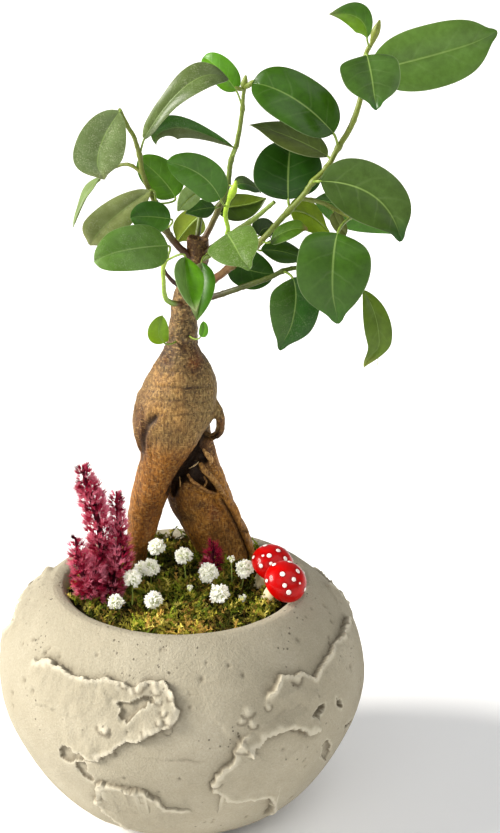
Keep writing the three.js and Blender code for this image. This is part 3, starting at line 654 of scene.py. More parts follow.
# Marks on the front of the trunk, x, z, half-width, half-height, tone and strength.
# Most are the bark's own stains; the darkest, in the hollow, in the creases and between the legs, are painted shade,
# and the pale patches on the bulb's upper left are painted highlight.
trunkMarksShadeAndHighlights = [
    (-7, 207, 3.2, 4, "#3B2413", 0.75), (8.5, 203, 2.6, 4, "#4A2A14", 0.7), (1, 209, 6, 3, "#4B3119", 0.55),
    (6, 203, 3, 3.5, "#8A4A1C", 0.5), (-6, 203, 3, 2, "#6E4526", 0.5),
    (4, 192.8, 3.5, 0.9, "#2B1A0E", 0.85), (8, 200, 1.6, 1.0, "#3A2412", 0.6),
    (-9, 183, 6, 8, "#C79F63", 0.5), (-6, 196, 7, 4, "#BC9358", 0.4), (0, 180, 4, 9, "#C29A60", 0.35),
    (-10, 158, 5, 10, "#A87A40", 0.3), (9, 184, 5, 10, "#9A8560", 0.35), (3, 170, 8, 8, "#9C8354", 0.35),
    (-17, 176, 3.4, 13, "#553518", 0.7), (-15.5, 166, 3, 8, "#5A3A1A", 0.5), (-11, 179, 3, 2.5, "#4A2D17", 0.6),
    (-16.5, 118, 3, 5, "#97682F", 0.4), (-12, 133, 3, 10, "#8A5526", 0.45), (-20, 107, 4, 6, "#6F5430", 0.6),
    (-14, 128, 3, 8, "#9A6A34", 0.3),
    (6, 135, 6, 7, "#7A5A30", 0.4), (11, 122, 7, 10, "#8F6F3E", 0.35), (14.4, 130.5, 2.5, 4, "#8E4E20", 0.55),
    (9, 135, 3, 2, "#3E2815", 0.6), (17, 112, 7, 9, "#7E6238", 0.45), (4, 128, 3, 3, "#8C7A58", 0.4),
    (-2, 122, 2.6, 22, "#3A2213", 0.7), (5, 152, 7, 8, "#2E1C10", 0.8), (11, 158, 3.5, 6, "#3A2414", 0.7),
    (-1, 146, 3.5, 6, "#241610", 0.85), (15.6, 168, 2.6, 2.8, "#120B07", 1.0), (18, 174, 2.2, 4, "#6A3614", 0.6),
    (6.5, 113, 3, 9, "#8E5A22", 0.4), (24, 112, 4, 12, "#A58350", 0.5), (12, 186, 4, 10, "#8F8258", 0.4),
]
# Creases on the front, as lines of x, z, with how deep and how wide each one is; each is darkened with painted shade.
trunkCreases = [
    ([(-7.5, 183), (-9.5, 181.2), (-13.9, 176.2), (-15.8, 170.7), (-16.9, 162), (-18, 156)], 1.3, 1.3),
    ([(-12.4, 192.2), (-6, 193.4), (6, 193.2), (14.9, 191.4)], 0.5, 0.45),
    ([(-16.8, 186.8), (-8, 188.2), (0.5, 188.1), (15.7, 185.7)], 0.4, 0.5),
    ([(-9, 198.5), (-2, 199.6), (7, 199.2), (11.5, 197.5)], 0.35, 0.45),
    ([(-6, 181.5), (2, 182.4), (10, 181.6), (16.5, 179.8)], 0.25, 0.45),
    ([(15.5, 140.5), (17.5, 137.5), (21, 129.9), (25, 119.3), (29.5, 106.7), (31, 98)], 2.2, 0.95),
    ([(16.5, 176), (13.5, 170), (9.5, 163), (4.5, 156), (0.5, 149.5), (-3.5, 143.5), (-6.5, 137)], 3.0, 2.0),
]
# Small knobs on the front: x, z, size and height; a ring of painted shade lies round each.
trunkKnobs = [(3, 212.3, 1.0, 0.9), (-5.9, 204.7, 1.4, 0.6), (-18.8, 153.7, 1.1, 0.8), (11, 209, 1.0, 0.8),
              (-9, 206, 1.6, 0.5), (-8, 200, 1.2, 0.4), (12, 143, 1.4, 0.6)]


def growOval(rows, steps):
    # a limb of level oval sections, drawn up ring by ring from a filled circle
    before = np.array([*rows[0][:3], 1, 1], float)
    bpy.ops.mesh.primitive_circle_add(vertices=48, radius=mm, fill_type="NGON", location=Vector(before[:3]) * mm)
    startEdit()
    for k in range(steps + 1):
        row = through(rows, k / steps)
        if k:
            bpy.ops.mesh.extrude_region_move(TRANSFORM_OT_translate={"value": (row[:3] - before[:3]) * mm})
        wide, deep = row[3:] / before[3:]
        bpy.ops.transform.resize(value=(wide, deep, 1), center_override=Vector(row[:3]) * mm)
        before = row
    return endEdit()


def growTrunk():
    limbs = [growOval(bulbAndFrontLeg, 90), growOval(backLeg, 50)]
    wood = joinPieces(*limbs, *(growRound(evenly(root, 1.2), 16) for root in sideRoots))
    bpy.ops.object.transform_apply(location=True, rotation=True, scale=True)
    applyModifier(wood, "REMESH", mode="VOXEL", voxel_size=trunk["voxel"] * mm)
    applyModifier(wood, "SMOOTH", factor=0.5, iterations=5)
    return wood


def carveTrunk(wood):
    points, normals = readPoints(wood), readVectors(wood, "normal")
    x, y, z = points.T
    front, neck = smooth(-0.1, 0.45, -normals[:, 1]), smooth(196, 210, z)
    lift = 0.12 * hills(points, (1.4, 1.4, 5), 2) + 0.14 * hills(points + 40, (3.2, 3.2, 0.9), 1)
    lift += neck * (0.35 * hills(points, (2.2, 2.2, 3.0), 2) + 0.2 * hills(points, (1.1, 1.1, 1.4)))
    lift += 0.5 * hills(points + 9, 9, 2) + 0.25 * hills(points + 70, (3.5, 3.5, 14))
    leftBulge = smooth(-9, -14, x) * smooth(157, 163, z) * smooth(190, 184, z)
    lift += leftBulge * 0.5 * hills(points, (1.1, 1.1, 14), 2)
    backPart = smooth(-3, 3, x) * smooth(158, 150, z)
    lift += backPart * (0.35 * hills(points + 15, (2.6, 2.6, 8), 2))
    # painted shade in the low spots of the bark's bumps, then in the creases, the hollow and round the knobs
    shade, flat = np.clip(-lift * 0.6, 0, 0.5), np.c_[x, z]
    for line, deep, wide in trunkCreases:
        away, _, share = besideLine(flat + 0.35 * hills(points, 3)[:, None], line)
        dip = front * smooth(0, 0.14, share) * smooth(1, 0.9, share) * bell(away, 0, wide)
        lift -= deep * dip
        shade = np.maximum(shade, min(0.25 + 0.5 * deep, 1) * dip)
    edge = flat + 0.5 * hills(points, 2.5)[:, None]
    deepness = np.abs(besideLine(edge, trunkHollow + trunkHollow[:1])[0]) * insideLoop(edge, trunkHollow)
    facing = smooth(0, 0.4, front)
    shade = np.maximum(shade, facing * smooth(0, 0.35, deepness) * (0.92 + 0.08 * hills(points, 1.2)))
    for cx, cz, size, high in trunkKnobs:
        away = np.hypot(x - cx, z - cz) / size
        lift += front * high * bell(away, 0, 1)
        shade = np.maximum(shade, front * 0.6 * bell(away, 1.4, 0.35))
    # the cut stump: a dished top inside a torn rim
    stumpX, stumpY, stumpTop = trunk["stump"]
    top = smooth(stumpTop - 0.6, stumpTop + 0.6, z)
    dish = top * smooth(4.2, 2.6, np.hypot(x - stumpX, y - stumpY))
    points = points + normals * lift[:, None] * (1 - top)[:, None]
    points[:, 1] += trunk["hollowDepth"] * facing * smooth(0, 1.2, deepness)
    points[:, 2] -= (dish * (1.8 + 0.5 * hills(points, 1.5)) + top * 1.2 * smooth(0, 8, x - 4)
                     - top * 0.3 * hills(points, 1.8))
    movePoints(wood, points)
    storeValue(wood, "shade", np.clip(shade, 0, 1))
    tone = linear(trunk["tone"])
    # the bark's tones by place, and a darker tone painted as shade on the sides that face left
    for color, share in (
            ("#97804F", smooth(2, 14, x) * 0.5), ("#A06A22", smooth(176, 160, z) * 0.65),
            ("#8A5416", smooth(132, 114, z) * smooth(-2, -8, x) * 0.7), ("#76735B", smooth(162, 172, z) * 0.62),
            ("#625840", neck * 0.85), ("#8C6A44", smooth(0.2, 0.9, -normals[:, 0]) * 0.25),
            ("#B08238", smooth(-6, 4, x) * smooth(160, 150, z) * 0.85)):
        tone = stain(tone, color, share)
    speckle = hills(points, 3.5, 2)
    # the bark's own stains, with painted shade and painted highlight among them
    for cx, cz, wide, high, color, strength in trunkMarksShadeAndHighlights:
        away = np.hypot((x - cx) / wide, (z - cz) / high) * (1 + 0.35 * speckle)
        tone = stain(tone, color, 1.25 * front * strength * bell(away, 0, 1))
    # dark and pale flecks on the neck, tones on the stump, and a darker foot
    for color, share in (
            ("#33241A", neck * smooth(0.1, 0.6, hills(points, (1.7, 1.7, 1.2), 2)) * 0.6),
            ("#C2AC86", neck * smooth(0.15, 0.65, hills(points + 30, (1.4, 1.4, 0.8), 2)) * 0.55),
            ("#5E4226", smooth(238, 246, z) * 0.7), ("#7A5326", smooth(5.5, 3.5, x) * smooth(242, 248, z) * 0.7),
            ("#4C3620", smooth(106, 99, z) * 0.7)):
        tone = stain(tone, color, share)
    storeTone(wood, tone)


def ficusBark():
    # Thin living bark, grown: a dry satin skin with upright fibres and pale corky dashes, with painted shade in its
    # creases and hollow.
    material, tree, place = startMaterial("ficusBark")
    # fibres half a millimetre across and twice as long
    stretched = addNode(tree, "Mapping", {"Vector": place, "Scale": (1, 1, 0.34)})
    fibre = addNode(tree, "TexNoise", {"Vector": stretched, "Scale": 1000 / 0.75, "Detail": 3, "Roughness": 0.6})
    fibreTone = addNode(tree, "ValToRGB", [fibre], [(0.34, "#5E4426"), (0.49, "#C6AE84"), (0.64, "#FFF2D0")])
    tone = addNode(tree, "Attribute", attribute_name="tone")
    tone = addNode(tree, "Mix", [0.88, tone, fibreTone], blend_type="MULTIPLY")
    # corky dashes 1.5 mm wide and half a millimetre high
    squashed = addNode(tree, "Mapping", {"Vector": place, "Scale": (1, 1, 2.6)})
    dash = addNode(tree, "TexNoise", {"Vector": squashed, "Scale": 1000 / 1.6, "Detail": 2})
    blot = addNode(tree, "TexNoise", {"Vector": place, "Scale": 1000 / 3.2, "Detail": 4, "Roughness": 0.7})
    tone = layTones(tree, tone, [
        (addNode(tree, "MapRange", [dash, 0.57, 0.68]), 0.45, "#C09A5E"),
        (addNode(tree, "MapRange", [blot, 0.5, 0.7]), 0.55, "#6A4A29"),
        # the painted shade kept on the points
        (addNode(tree, "Attribute", attribute_name="shade").outputs["Fac"], 0.93, "#1C1009")])
    relief = addNode(tree, "Math", [fibre, blot], operation="ADD")
    return endMaterial(material, tone, {"Roughness": 0.62, "IOR": 1.45, "Specular IOR Level": 0.3}, relief, 0.6, 0.5)


def makeTrunk():
    wood = growTrunk()
    carveTrunk(wood)
    strands = []
    for color, row in fineRoots:
        strand = growRound(evenly(row, 0.7), 12)
        storeTone(strand, linear(color))
        # painted shade in the low spots of each strand's bumps
        storeValue(strand, "shade", np.clip(-4 * swell(strand, 1.3, 0.14), 0, 0.5))
        strands.append(strand)
    finishPiece(joinPieces(wood, *strands), "trunkWood", [ficusBark()], "trunk", smoothTo=180)


makeTrunk()
print("trunk grown")


# The shoots: thin round stems with a ring at each leaf, green where they are young and brown where they are not.

crown = {"middle": 16, "spread": 1.7}
shoots = {
    "main_shoot": [
        [(11, 14, 236, 1.6), (16, 12, 240, 1.7), (22, 8, 246, 1.6), (28, 4, 252, 1.4), (33, 2, 257, 1.2),
         (44, 0, 270, 1.2), (51, -1, 278, 1.15), (56, -1, 285, 1.1), (61.7, 0, 291, 1.1), (66.3, 1, 299, 1.15),
         (71, 2, 307, 1.2), (73.8, 3, 314, 1.2), (75.3, 4, 320, 1.1), (76.3, 4, 329, 1), (77, 4, 337, 0.9),
         (79, 4, 341, 0.8), (80.3, 3.5, 345, 1.7), (81.4, 3.3, 348, 1.3), (82, 3, 350.5, 0.4)],
        [(51, -1, 278, 0.9), (60, 3, 275, 0.9), (67, 4, 271, 0.85), (72, 2, 269, 0.8)],
    ],
    "centre_shoot": [
        [(9, 19, 251, 1.2), (13.5, 20.5, 260, 1.3), (18, 20, 270, 1.2), (21, 19, 279, 1.1), (22, 18, 288, 1.1),
         (25, 16, 298, 1), (27, 15, 311, 0.9), (27.6, 14, 319, 0.8), (27.8, 14, 321.5, 1.5), (28.2, 14, 323.5, 1.3),
         (28.5, 14, 326, 0.4)],
        [(27.6, 14, 320.5, 0.7), (29.5, 12.5, 322, 1.1), (31.5, 12, 323.6, 0.9), (33, 12, 324.6, 0.3)],
        [(27.6, 14, 320, 0.6), (25.6, 12.5, 320.6, 0.9), (24, 12, 321.6, 0.3)],
    ],
    "left_shoot": [
        [(6, 16, 247, 1.5), (0, 15, 253, 1.5), (-5, 12, 261, 1.4), (-9, 9, 273, 1.2), (-14, 8, 286, 1),
         (-15, 8, 293, 1), (-17, 7, 301, 0.9), (-20, 6, 307, 0.9), (-23, 5, 314, 0.6)],
        [(-14, 8, 286, 0.8), (-18, 9, 289, 0.8), (-22, 10, 289.5, 0.75), (-27, 11, 287.5, 0.7),
         (-31, 12, 284, 0.65)],
    ],
    "low_left_shoot": [
        [(1, 14, 228, 1.2), (-3, 10, 229.5, 1.2), (-5.5, 7, 233, 1), (-6, 5, 240, 0.9), (-6, 5, 247, 0.9),
         (-4, 5, 252, 0.7)],
    ],
    "dry_twig": [
        [(2, 15, 234, 0.9), (-2.4, 10.5, 239, 0.9), (-5, 10, 242.5, 0.7), (-7, 10, 247, 0.6), (-8, 10, 251, 0.5)],
    ],
    "low_right_shoot": [
        [(7, 15, 229, 1.3), (15, 11, 232, 1.3), (28, 6, 238, 1.2), (38, 5, 242, 1.1), (44, 5, 245, 1),
         (50, 5, 246.5, 0.9), (58, 6, 246, 0.9), (67, 7, 242, 0.8), (73, 7, 239, 0.7)],
    ],
    "front_shoot": [
        [(10, 15, 247, 1.1), (17, 9, 254, 1), (21, 3, 262, 0.9), (20, 1, 271, 0.9), (21.4, 1, 276, 0.8),
         (22.6, 1, 279, 1.5), (23.8, 1, 282, 1.4), (24.6, 1, 285, 0.4)],
    ],
    "right_shoot": [
        [(10, 15.5, 249, 1.2), (20, 14, 257, 1.2), (29, 11, 264, 1.1), (34, 10, 268, 1), (40.5, 9, 274, 0.8)],
    ],
    "back_shoot": [
        [(7.4, 19, 253, 1.1), (8.6, 22, 260, 1.1), (9, 24, 266, 0.9), (8, 24, 272, 0.7)],
    ],
}
# Tone of each shoot at its foot, in the middle and at its tip.
shootTones = {
    "main_shoot": ("#7A5230", "#6A7C22", "#78852E"), "centre_shoot": ("#6B5030", "#5E7424", "#7C8E34"),
    "left_shoot": ("#4A2C16", "#5E6220", "#6F8028"), "low_left_shoot": ("#5A3B20", "#7FA545", "#A9C24A"),
    "dry_twig": ("#3A1D12", "#3A1D12", "#4A2416"), "low_right_shoot": ("#3B2415", "#464D12", "#65801C"),
    "front_shoot": ("#6A7A35", "#8CB83E", "#A8CC2C"), "right_shoot": ("#5A4426", "#6C7F30", "#84A03C"),
    "back_shoot": ("#4A3420", "#5A6A2A", "#6A8030"),
}
# One leaf a row: node on the shoot, base, middle and tip of the midrib, width, turn, fold, and where it is widest.
leaves = [
    [(78.5, 4, 339), (77, 1, 344), (73, 0, 352), (62, -3, 354), 12, 15, 10],
    [(75, 4, 325), (79, 8, 329), (107, 9, 336), (131, 12, 343), 26, 10, 12, 0.45],
    [(77, 4, 335), (77, -1, 337), (79, -7, 328), (80, -13, 318), 24, 0, 12, 0.3],
    [(66, 1, 299), (64, 0, 305), (48, 1, 319), (31, 4, 325), 23, 15, 12],
    [(61, 0, 291), (62, 6, 294), (48, 9, 300.5), (30, 11, 306.5), 18, 45, 10],
    [(47, 0, 273), (46, 5, 276), (46, 9, 287.5), (47, 15, 298), 28, 0, 10, 0.37],
    [(56, -1, 285), (59, -4, 286), (81, -6, 280), (92, -9, 262), 24, 0, 10],
    [(56, 1, 276.5), (57, 7, 275.5), (73, 10, 270), (89, 12, 259), 18, 30, 10],
    [(63, 3, 273), (65, 6, 270), (67, 5, 266), (70, 4, 261), 6, 20, 10],
    [(72, 2, 269), (66, -8, 265), (64, -12, 251), (65, -12, 227), 30, 0, 10],
    [(44, 5, 245), (48, 1, 243), (49, -2, 231), (44, -3, 212), 21, 0, 12],
    [(21, 3, 262), (21, -2, 263), (24.5, -9, 259), (29, -14, 251), 21, 0, 5, 0.25],
    [(73, 7, 239), (78, 6, 236), (84, 3, 221), (84, 3, 202), 12, 0, 15, 0.52],
    [(35, 2, 259), (39, -2, 260), (46, -4, 265), (54, -5, 266), 12, -50, 8],
    [(46, 0, 272), (47, 5, 271), (55, 8, 268), (63, 10, 260), 14, 150, 8],
    [(23, 8, 247), (23.5, 12.5, 248), (30, 12, 243.5), (40, 11, 242), 16, 0, 8],
    [(33, 2, 256), (35, 5, 254), (44, 6, 253), (55, 7, 249), 13, -40, 8],
    [(30, 12, 263.6), (34, 14, 258), (36.5, 16, 260.5), (41, 17, 259), 10, -20, 8],
    [(-15, 8, 294), (-13, 8, 301), (4, 8, 322.5), (21, 12, 327), 14, -25, 15, 0.62],
    [(27, 15, 312), (24.5, 17, 319), (18, 19, 327), (11, 22, 332), 11, 0, 10],
    [(22, 18, 290), (23, 14, 296), (1.5, 11, 304.7), (-5, 6.5, 299.9), 11.5, 25, 12, 0.72],
    [(-22.5, 5.2, 312.8), (-22.6, 2.4, 313.4), (-31, 1, 298.5), (-31, -2, 286), 20, 0, 10, 0.56],
    [(-31, 12, 284), (-32, 12, 283), (-37.5, 11, 277), (-44, 10, 263), 12, 70, 10],
    [(-9, 9, 273), (-11, 5.5, 279.6), (-27.3, 3.6, 267.6), (-36, 1, 257.8), 14.6, -8, 10, 0.7],
    [(-5, 5, 250), (-4, -0.2, 257.5), (-18, -6, 257.8), (-34, -9, 254.8), 19, 10, 10],
    [(-5, 12, 261), (-3, 6, 267.3), (-11, 2.6, 269.2), (-19, 0.4, 269.6), 12.5, 0, 8],
    [(-9, 9, 273), (-1, 13, 275), (-7, 14, 283), (-16, 14.5, 291), 15, 0, 8],
    [(20, 1, 274), (18, -2, 278), (10, -5, 289), (-3, -8, 295), 15, 0, 8],
    [(8, 24, 271), (10, 12.5, 277.7), (5, 9, 275.6), (0, 6, 270.6), 9, 150, 10],
    [(18, 20, 269), (15.5, 17.6, 269), (10, 16.8, 268.6), (3, 16, 267), 10, 35, 8],
    [(18, 20, 266), (15, 23, 268), (26, 24, 268), (37, 25, 271), 13, 160, 8],
    [(21, 19, 279), (24, 17, 278.7), (29, 18, 279), (35, 20, 275), 9, -50, 8],
    [(9, 23, 264), (9, 27, 263), (4, 28, 258), (-1, 29, 251), 13, 170, 8],
    [(-5.5, 5, 249), (3.4, -2.4, 252.8), (3.9, -7.2, 242.8), (8, -9, 232), 16, -28, 40],
    [(13, 13, 250), (10, 6, 248), (9.5, 2, 238), (8, 0, 225), 14, 0, 30],
    [(1, 17, 212), (-6.5, 8, 212.5), (-8.5, 6, 218), (-6.5, 5, 225), 9, 0, 15],
    [(2, 17, 215), (9.4, 10, 214.5), (10.6, 10, 217.5), (10.4, 10, 221), 4, 0, 10],
]


def deepen(row):
    # the crown's rows lie close to one plane, and this draws them apart along the line from the front
    shift = (row[1] - crown["middle"]) * (crown["spread"] - 1)
    x = row[0] + ((row[0] - 30) * shift) / 890
    z = row[2] - shift * (0.2 + (350 - row[2]) / 800)
    return (x, row[1] + shift, z, *row[3:])


def makeShoots():
    # Living twig skin, grown: satin, green and lightly ribbed when young, browner and corky towards the foot.
    skin = fleckedMaterial(
        "youngTwigBark", {"Roughness": 0.48, "IOR": 1.45}, 0.9,
        [(0.3, "#8A7A66"), (0.52, "#E6E0D2"), (0.75, "#FFFFF4")], share=0.55, bump=(0.35, 0.2), detail=4, rough=0.7)
    nodes = np.array([deepen(row[0]) for row in leaves])
    for name, branches in shoots.items():
        limbs, tones = [], [linear(color) for color in shootTones[name]]
        for branch in branches:
            rows = evenly([deepen(row) for row in branch], 0.5)
            for k, row in enumerate(rows):
                near = np.linalg.norm(nodes - row[:3], axis=1).min()
                row[3] *= 1 + 0.3 * bell(near, 0, 1.3) + 0.12 * bell(k % 22, 11, 1.2)
            spots = rows[:, :3]
            spots += 0.12 * np.c_[hills(spots, 4), hills(spots + 9, 4), hills(spots + 5, 4)]
            limb = growRound(rows, 14)
            points = readPoints(limb)
            share = np.linalg.norm(points - spots[0], axis=1) / np.linalg.norm(spots[-1] - spots[0])
            if branch is not branches[0]:
                share = 0.6 + 0.4 * share
            share = np.clip(share + 0.06 * hills(points, 4), 0, 1)
            storeTone(limb, toneAt(share, (0.08, 0.35, 1), tones))
            swell(limb, 1.1, 0.07)
            limbs.append(limb)
        label = "".join(word.title() for word in name.split("_"))
        finishPiece(joinPieces(*limbs), "stem" + label, [skin], name, smoothTo=180)


makeShoots()
print("shoots grown")


# The leaves: waxy blades that fold up a little from a pale midrib and end in a drip tip.

leaf = {
    "gridAlong": 24, "gridAcross": 10, "thickness": 0.34, "stalk": "#8FA648",
    # where a leaf is widest unless its row says so, and its drooping tip, waves and quilting as shares of its size
    "widest": 0.42, "droop": 0.02, "ripple": 0.018, "quilting": 0.012,
    "veinPairs": 11, "veinSlant": 0.36,
    "drip": [
        (0, 0.05), (0.03, 0.36), (0.08, 0.6), (0.16, 0.82), (0.28, 0.96), (0.42, 1), (0.56, 0.98), (0.68, 0.89),
        (0.77, 0.74), (0.84, 0.54), (0.89, 0.34), (0.93, 0.22), (0.96, 0.17), (0.985, 0.12), (1, 0.03)],
    "lance": [
        (0, 0.04), (0.04, 0.26), (0.1, 0.47), (0.2, 0.75), (0.31, 0.93), (0.42, 1), (0.55, 0.95), (0.68, 0.8),
        (0.8, 0.56), (0.9, 0.3), (0.96, 0.13), (1, 0.02)],
    "round": [
        (0, 0.05), (0.03, 0.4), (0.08, 0.64), (0.16, 0.84), (0.28, 0.97), (0.42, 1), (0.56, 0.99), (0.7, 0.92),
        (0.82, 0.77), (0.91, 0.56), (0.96, 0.38), (0.99, 0.18), (1, 0.04)],
    "spoon": [
        (0, 0.14), (0.04, 0.42), (0.12, 0.53), (0.22, 0.64), (0.32, 0.87), (0.42, 1), (0.6, 0.97), (0.78, 0.75),
        (0.9, 0.45), (0.97, 0.2), (1, 0.05)],
}
# The leaves that don't end in a drip tip, by number.
leafShapes = {"lance": (1, 5, 8, 13, 17, 21, 23, 30, 31, 34, 35), "spoon": (19,),
              "round": (4, 6, 9, 16, 18, 20, 25, 26, 27, 28, 36, 37)}
# How far a tip curls sideways, as a share of the leaf's length.
leafCurls = {2: 0.02, 3: 0.02, 10: 0.04, 11: -0.05, 12: 0.05, 13: -0.16, 19: -0.05, 21: -0.12, 22: 0.05, 25: 0.03}
# Leaves with pale specks, partly dust and partly painted sheen, and how many of them.
leafDustAndSheen = {11: 0.08, 12: 0.25, 19: 0.28, 21: 0.15, 22: 0.4, 24: 0.25, 25: 0.12}
# Tone of each leaf: upper side, its other half and its tip where they differ; then sheen from 0 to 1.
# The halves and tips differ partly in their own green and partly by painted light and shade, where one is lit and the
# other shaded.
leafTones = [
    ("#467414", "#6E9A18", "#6E7F48", 0.3), ("#577A32", "#5B7E36", "#4A7020", 0.4),
    ("#3C5C20", "#42602A", "#27580A", 0.5), ("#33590E", "#355C10", 0.9), ("#485A20", "#55642C", 0.6),
    ("#1F4606", "#234A08", 0.3), ("#3A5418", "#46602A", "#1F4E06", 0.5), ("#4C8418", "#3C6C10", 0.3),
    ("#5B6530", 0.3), ("#3C5F1C", "#385C12", "#37680C", 0.6), ("#3A6018", "#225006", "#28560A", 0.5),
    ("#557430", "#5A7834", 0.4), ("#5C7820", "#5E7A20", "#8A9644", 0.4), ("#41640E", "#46681A", "#6A5A2C", 0.4),
    ("#8EAC0A", "#86A60C", 0.2), ("#2A5206", "#2A5206", "#30560A", 0.3), ("#335A0E", "#2C4E0A", 0.3),
    ("#2C460E", 0.3), ("#536638", "#5A6C3C", 0.4), ("#4F8812", "#5E9618", 0.3),
    ("#3C7018", "#65724A", "#4E6A2C", 0.5), ("#6C8054", "#728658", "#7C865A", 0.5), ("#788E5C", 0.3),
    ("#828E5C", "#8A965E", "#949A6C", 0.4), ("#5A8230", "#5E8634", "#68884A", 0.4), ("#356410", "#4A7A20", 0.4),
    ("#4F8016", "#54841A", 0.4), ("#427018", "#46741C", 0.7), ("#94B072", "#98B474", 0.2), ("#264808", 0.2),
    ("#54680C", "#38500A", 0.3), ("#365E1A", "#526C38", 0.4), ("#7A8E22", "#829626", 0.1),
    ("#6A8E4A", "#5C9A06", "#A8BA84", 0.3), ("#8E9A70", "#3E7206", "#5A8030", 0.4), ("#6F960C", "#7CA212", 0.2),
    ("#5A9616", 0.2),
]


def onCurve(a, b, c, t):
    return a * (1 - t) ** 2 + b * 2 * t * (1 - t) + c * t * t, ((b - a) * (1 - t) + (c - b) * t).normalized()


def bladeFrame(row):
    # the base, pull and tip of the midrib's curve, and the way across the blade
    base, middle, tip = (Vector(deepen(spot)) for spot in row[1:4])
    chord = (tip - base).normalized()
    front = Vector((0, -1, 0.35))
    normal = Quaternion(chord, math.radians(row[5])) @ (front - chord * front.dot(chord)).normalized()
    return base, middle * 2 - base * 0.5 - tip * 0.5, tip, normal.cross(chord)


def acrossBlade(curve, side, share):
    # a spot on the midrib, the way across the blade there, and the way up from it
    spot, along = onCurve(*curve, share)
    over = (side - along * side.dot(along)).normalized()
    return spot, over, along.cross(over)


def makeBlade(number, row, curve, side):
    dice = np.random.default_rng(100 + number)
    width, fold = row[4], math.radians(row[6])
    widest = leaf["widest"]
    belly = row[7] if len(row) > 7 else widest
    length = (curve[2] - curve[0]).length
    shape = next((name for name, numbers in leafShapes.items() if number + 1 in numbers), "drip")
    outline = np.array([through(leaf[shape], t) for t in np.linspace(0, 1, 300)])
    bpy.ops.mesh.primitive_grid_add(
        x_subdivisions=leaf["gridAcross"], y_subdivisions=leaf["gridAlong"], size=2 * mm, calc_uvs=True)
    blade = bpy.context.active_object
    waves = dice.uniform(0, 6.28, 4)
    points, marks = readPoints(blade), []
    for i, (across, gy, _) in enumerate(points):
        share, away, right = (gy + 1) / 2, abs(across), across > 0
        share -= 0.06 * math.sin(2 * math.pi * share)
        marks.append((across, share))
        spot, over, up = acrossBlade(curve, side, share)
        usual = share * widest / belly if share < belly else 1 - (1 - share) * (1 - widest) / (1 - belly)
        half = width / 2 * np.interp(usual, outline[:, 0], outline[:, 1])
        half *= 1 + 0.035 * math.sin(waves[0] + 5 * share + 2 * right)
        # the halves rise from the midrib and round over towards the margin
        rise = math.sin(fold) * away * half * (1.35 - 0.35 * away ** 2)
        rise -= 0.11 * half * away ** 2.5
        ripple = math.sin(waves[1 if right else 2] + share * (9 + 2 * math.sin(waves[3])))
        rise += leaf["ripple"] * width * away ** 2 * ripple
        # shallow quilting between the side veins
        rise += leaf["quilting"] * width * away * (1 - away) * math.sin(share * 44 - away * 7)
        rise -= 0.3 * bell(away * half, 0, 0.5) * smooth(0, 0.1, share)
        droop = smooth(0.86, 1.0, share) * leaf["droop"] * length
        curl = leafCurls.get(number + 1, 0) * smooth(0.7, 1.0, share) * length
        points[i] = spot + over * (across * half * math.cos(fold * 0.9) + curl) + up * (rise - droop)
    movePoints(blade, points)
    across, share = np.array(marks).T
    *colors, sheen = leafTones[number]
    first, second, last = (colors * 3)[:3]
    # the halves and the tip toned apart, partly their own green and partly painted light and shade
    tone = stain(linear(first), second, smooth(-0.12, 0.12, across))
    tone = stain(tone, last, smooth(0.8, 1.0, share))
    tone[:, :3] *= (0.87 + 0.1 * hills(points, 9, 2))[:, None]
    storeTone(blade, tone)
    storeValue(blade, "sheen", sheen)
    storeValue(blade, "dust", leafDustAndSheen.get(number + 1, 0.0))
    applyModifier(blade, "SUBSURF", levels=1, render_levels=1)
    applyModifier(blade, "SOLIDIFY", thickness=leaf["thickness"] * mm, offset=-1, use_even_offset=False)
    return blade


def makeLeaf(number, row, materials):
    base, pull, tip, side = bladeFrame(row)
    curve = (base, pull, tip)
    blade = makeBlade(number, row, curve, side)
    # the petiole runs on under the blade as its midrib
    node = Vector(deepen(row[0]))
    bend = base - (pull - base).normalized() * (0.3 * (base - node).length)
    stout = 0.3 + 0.011 * row[4]
    line = [[*onCurve(node, bend, base, t)[0], stout] for t in np.linspace(0, 1, 10)]
    for t in np.linspace(0.04, 0.96, 16):
        spot, over, up = acrossBlade(curve, side, t)
        line.append([*(spot - up * (0.5 + 0.25 * t)), stout * 0.85 * (1 - t) ** 0.8 + 0.1])
    stalk = growRound(line, 8)
    storeTone(stalk, linear(leaf["stalk"]))
    for index, piece in enumerate((blade, stalk)):
        giveMaterials(piece, materials, index)
    finishPiece(joinPieces(blade, stalk), "leafBlade%02d" % (number + 1), None, "leaf_%02d" % (number + 1),
                smoothTo=60)


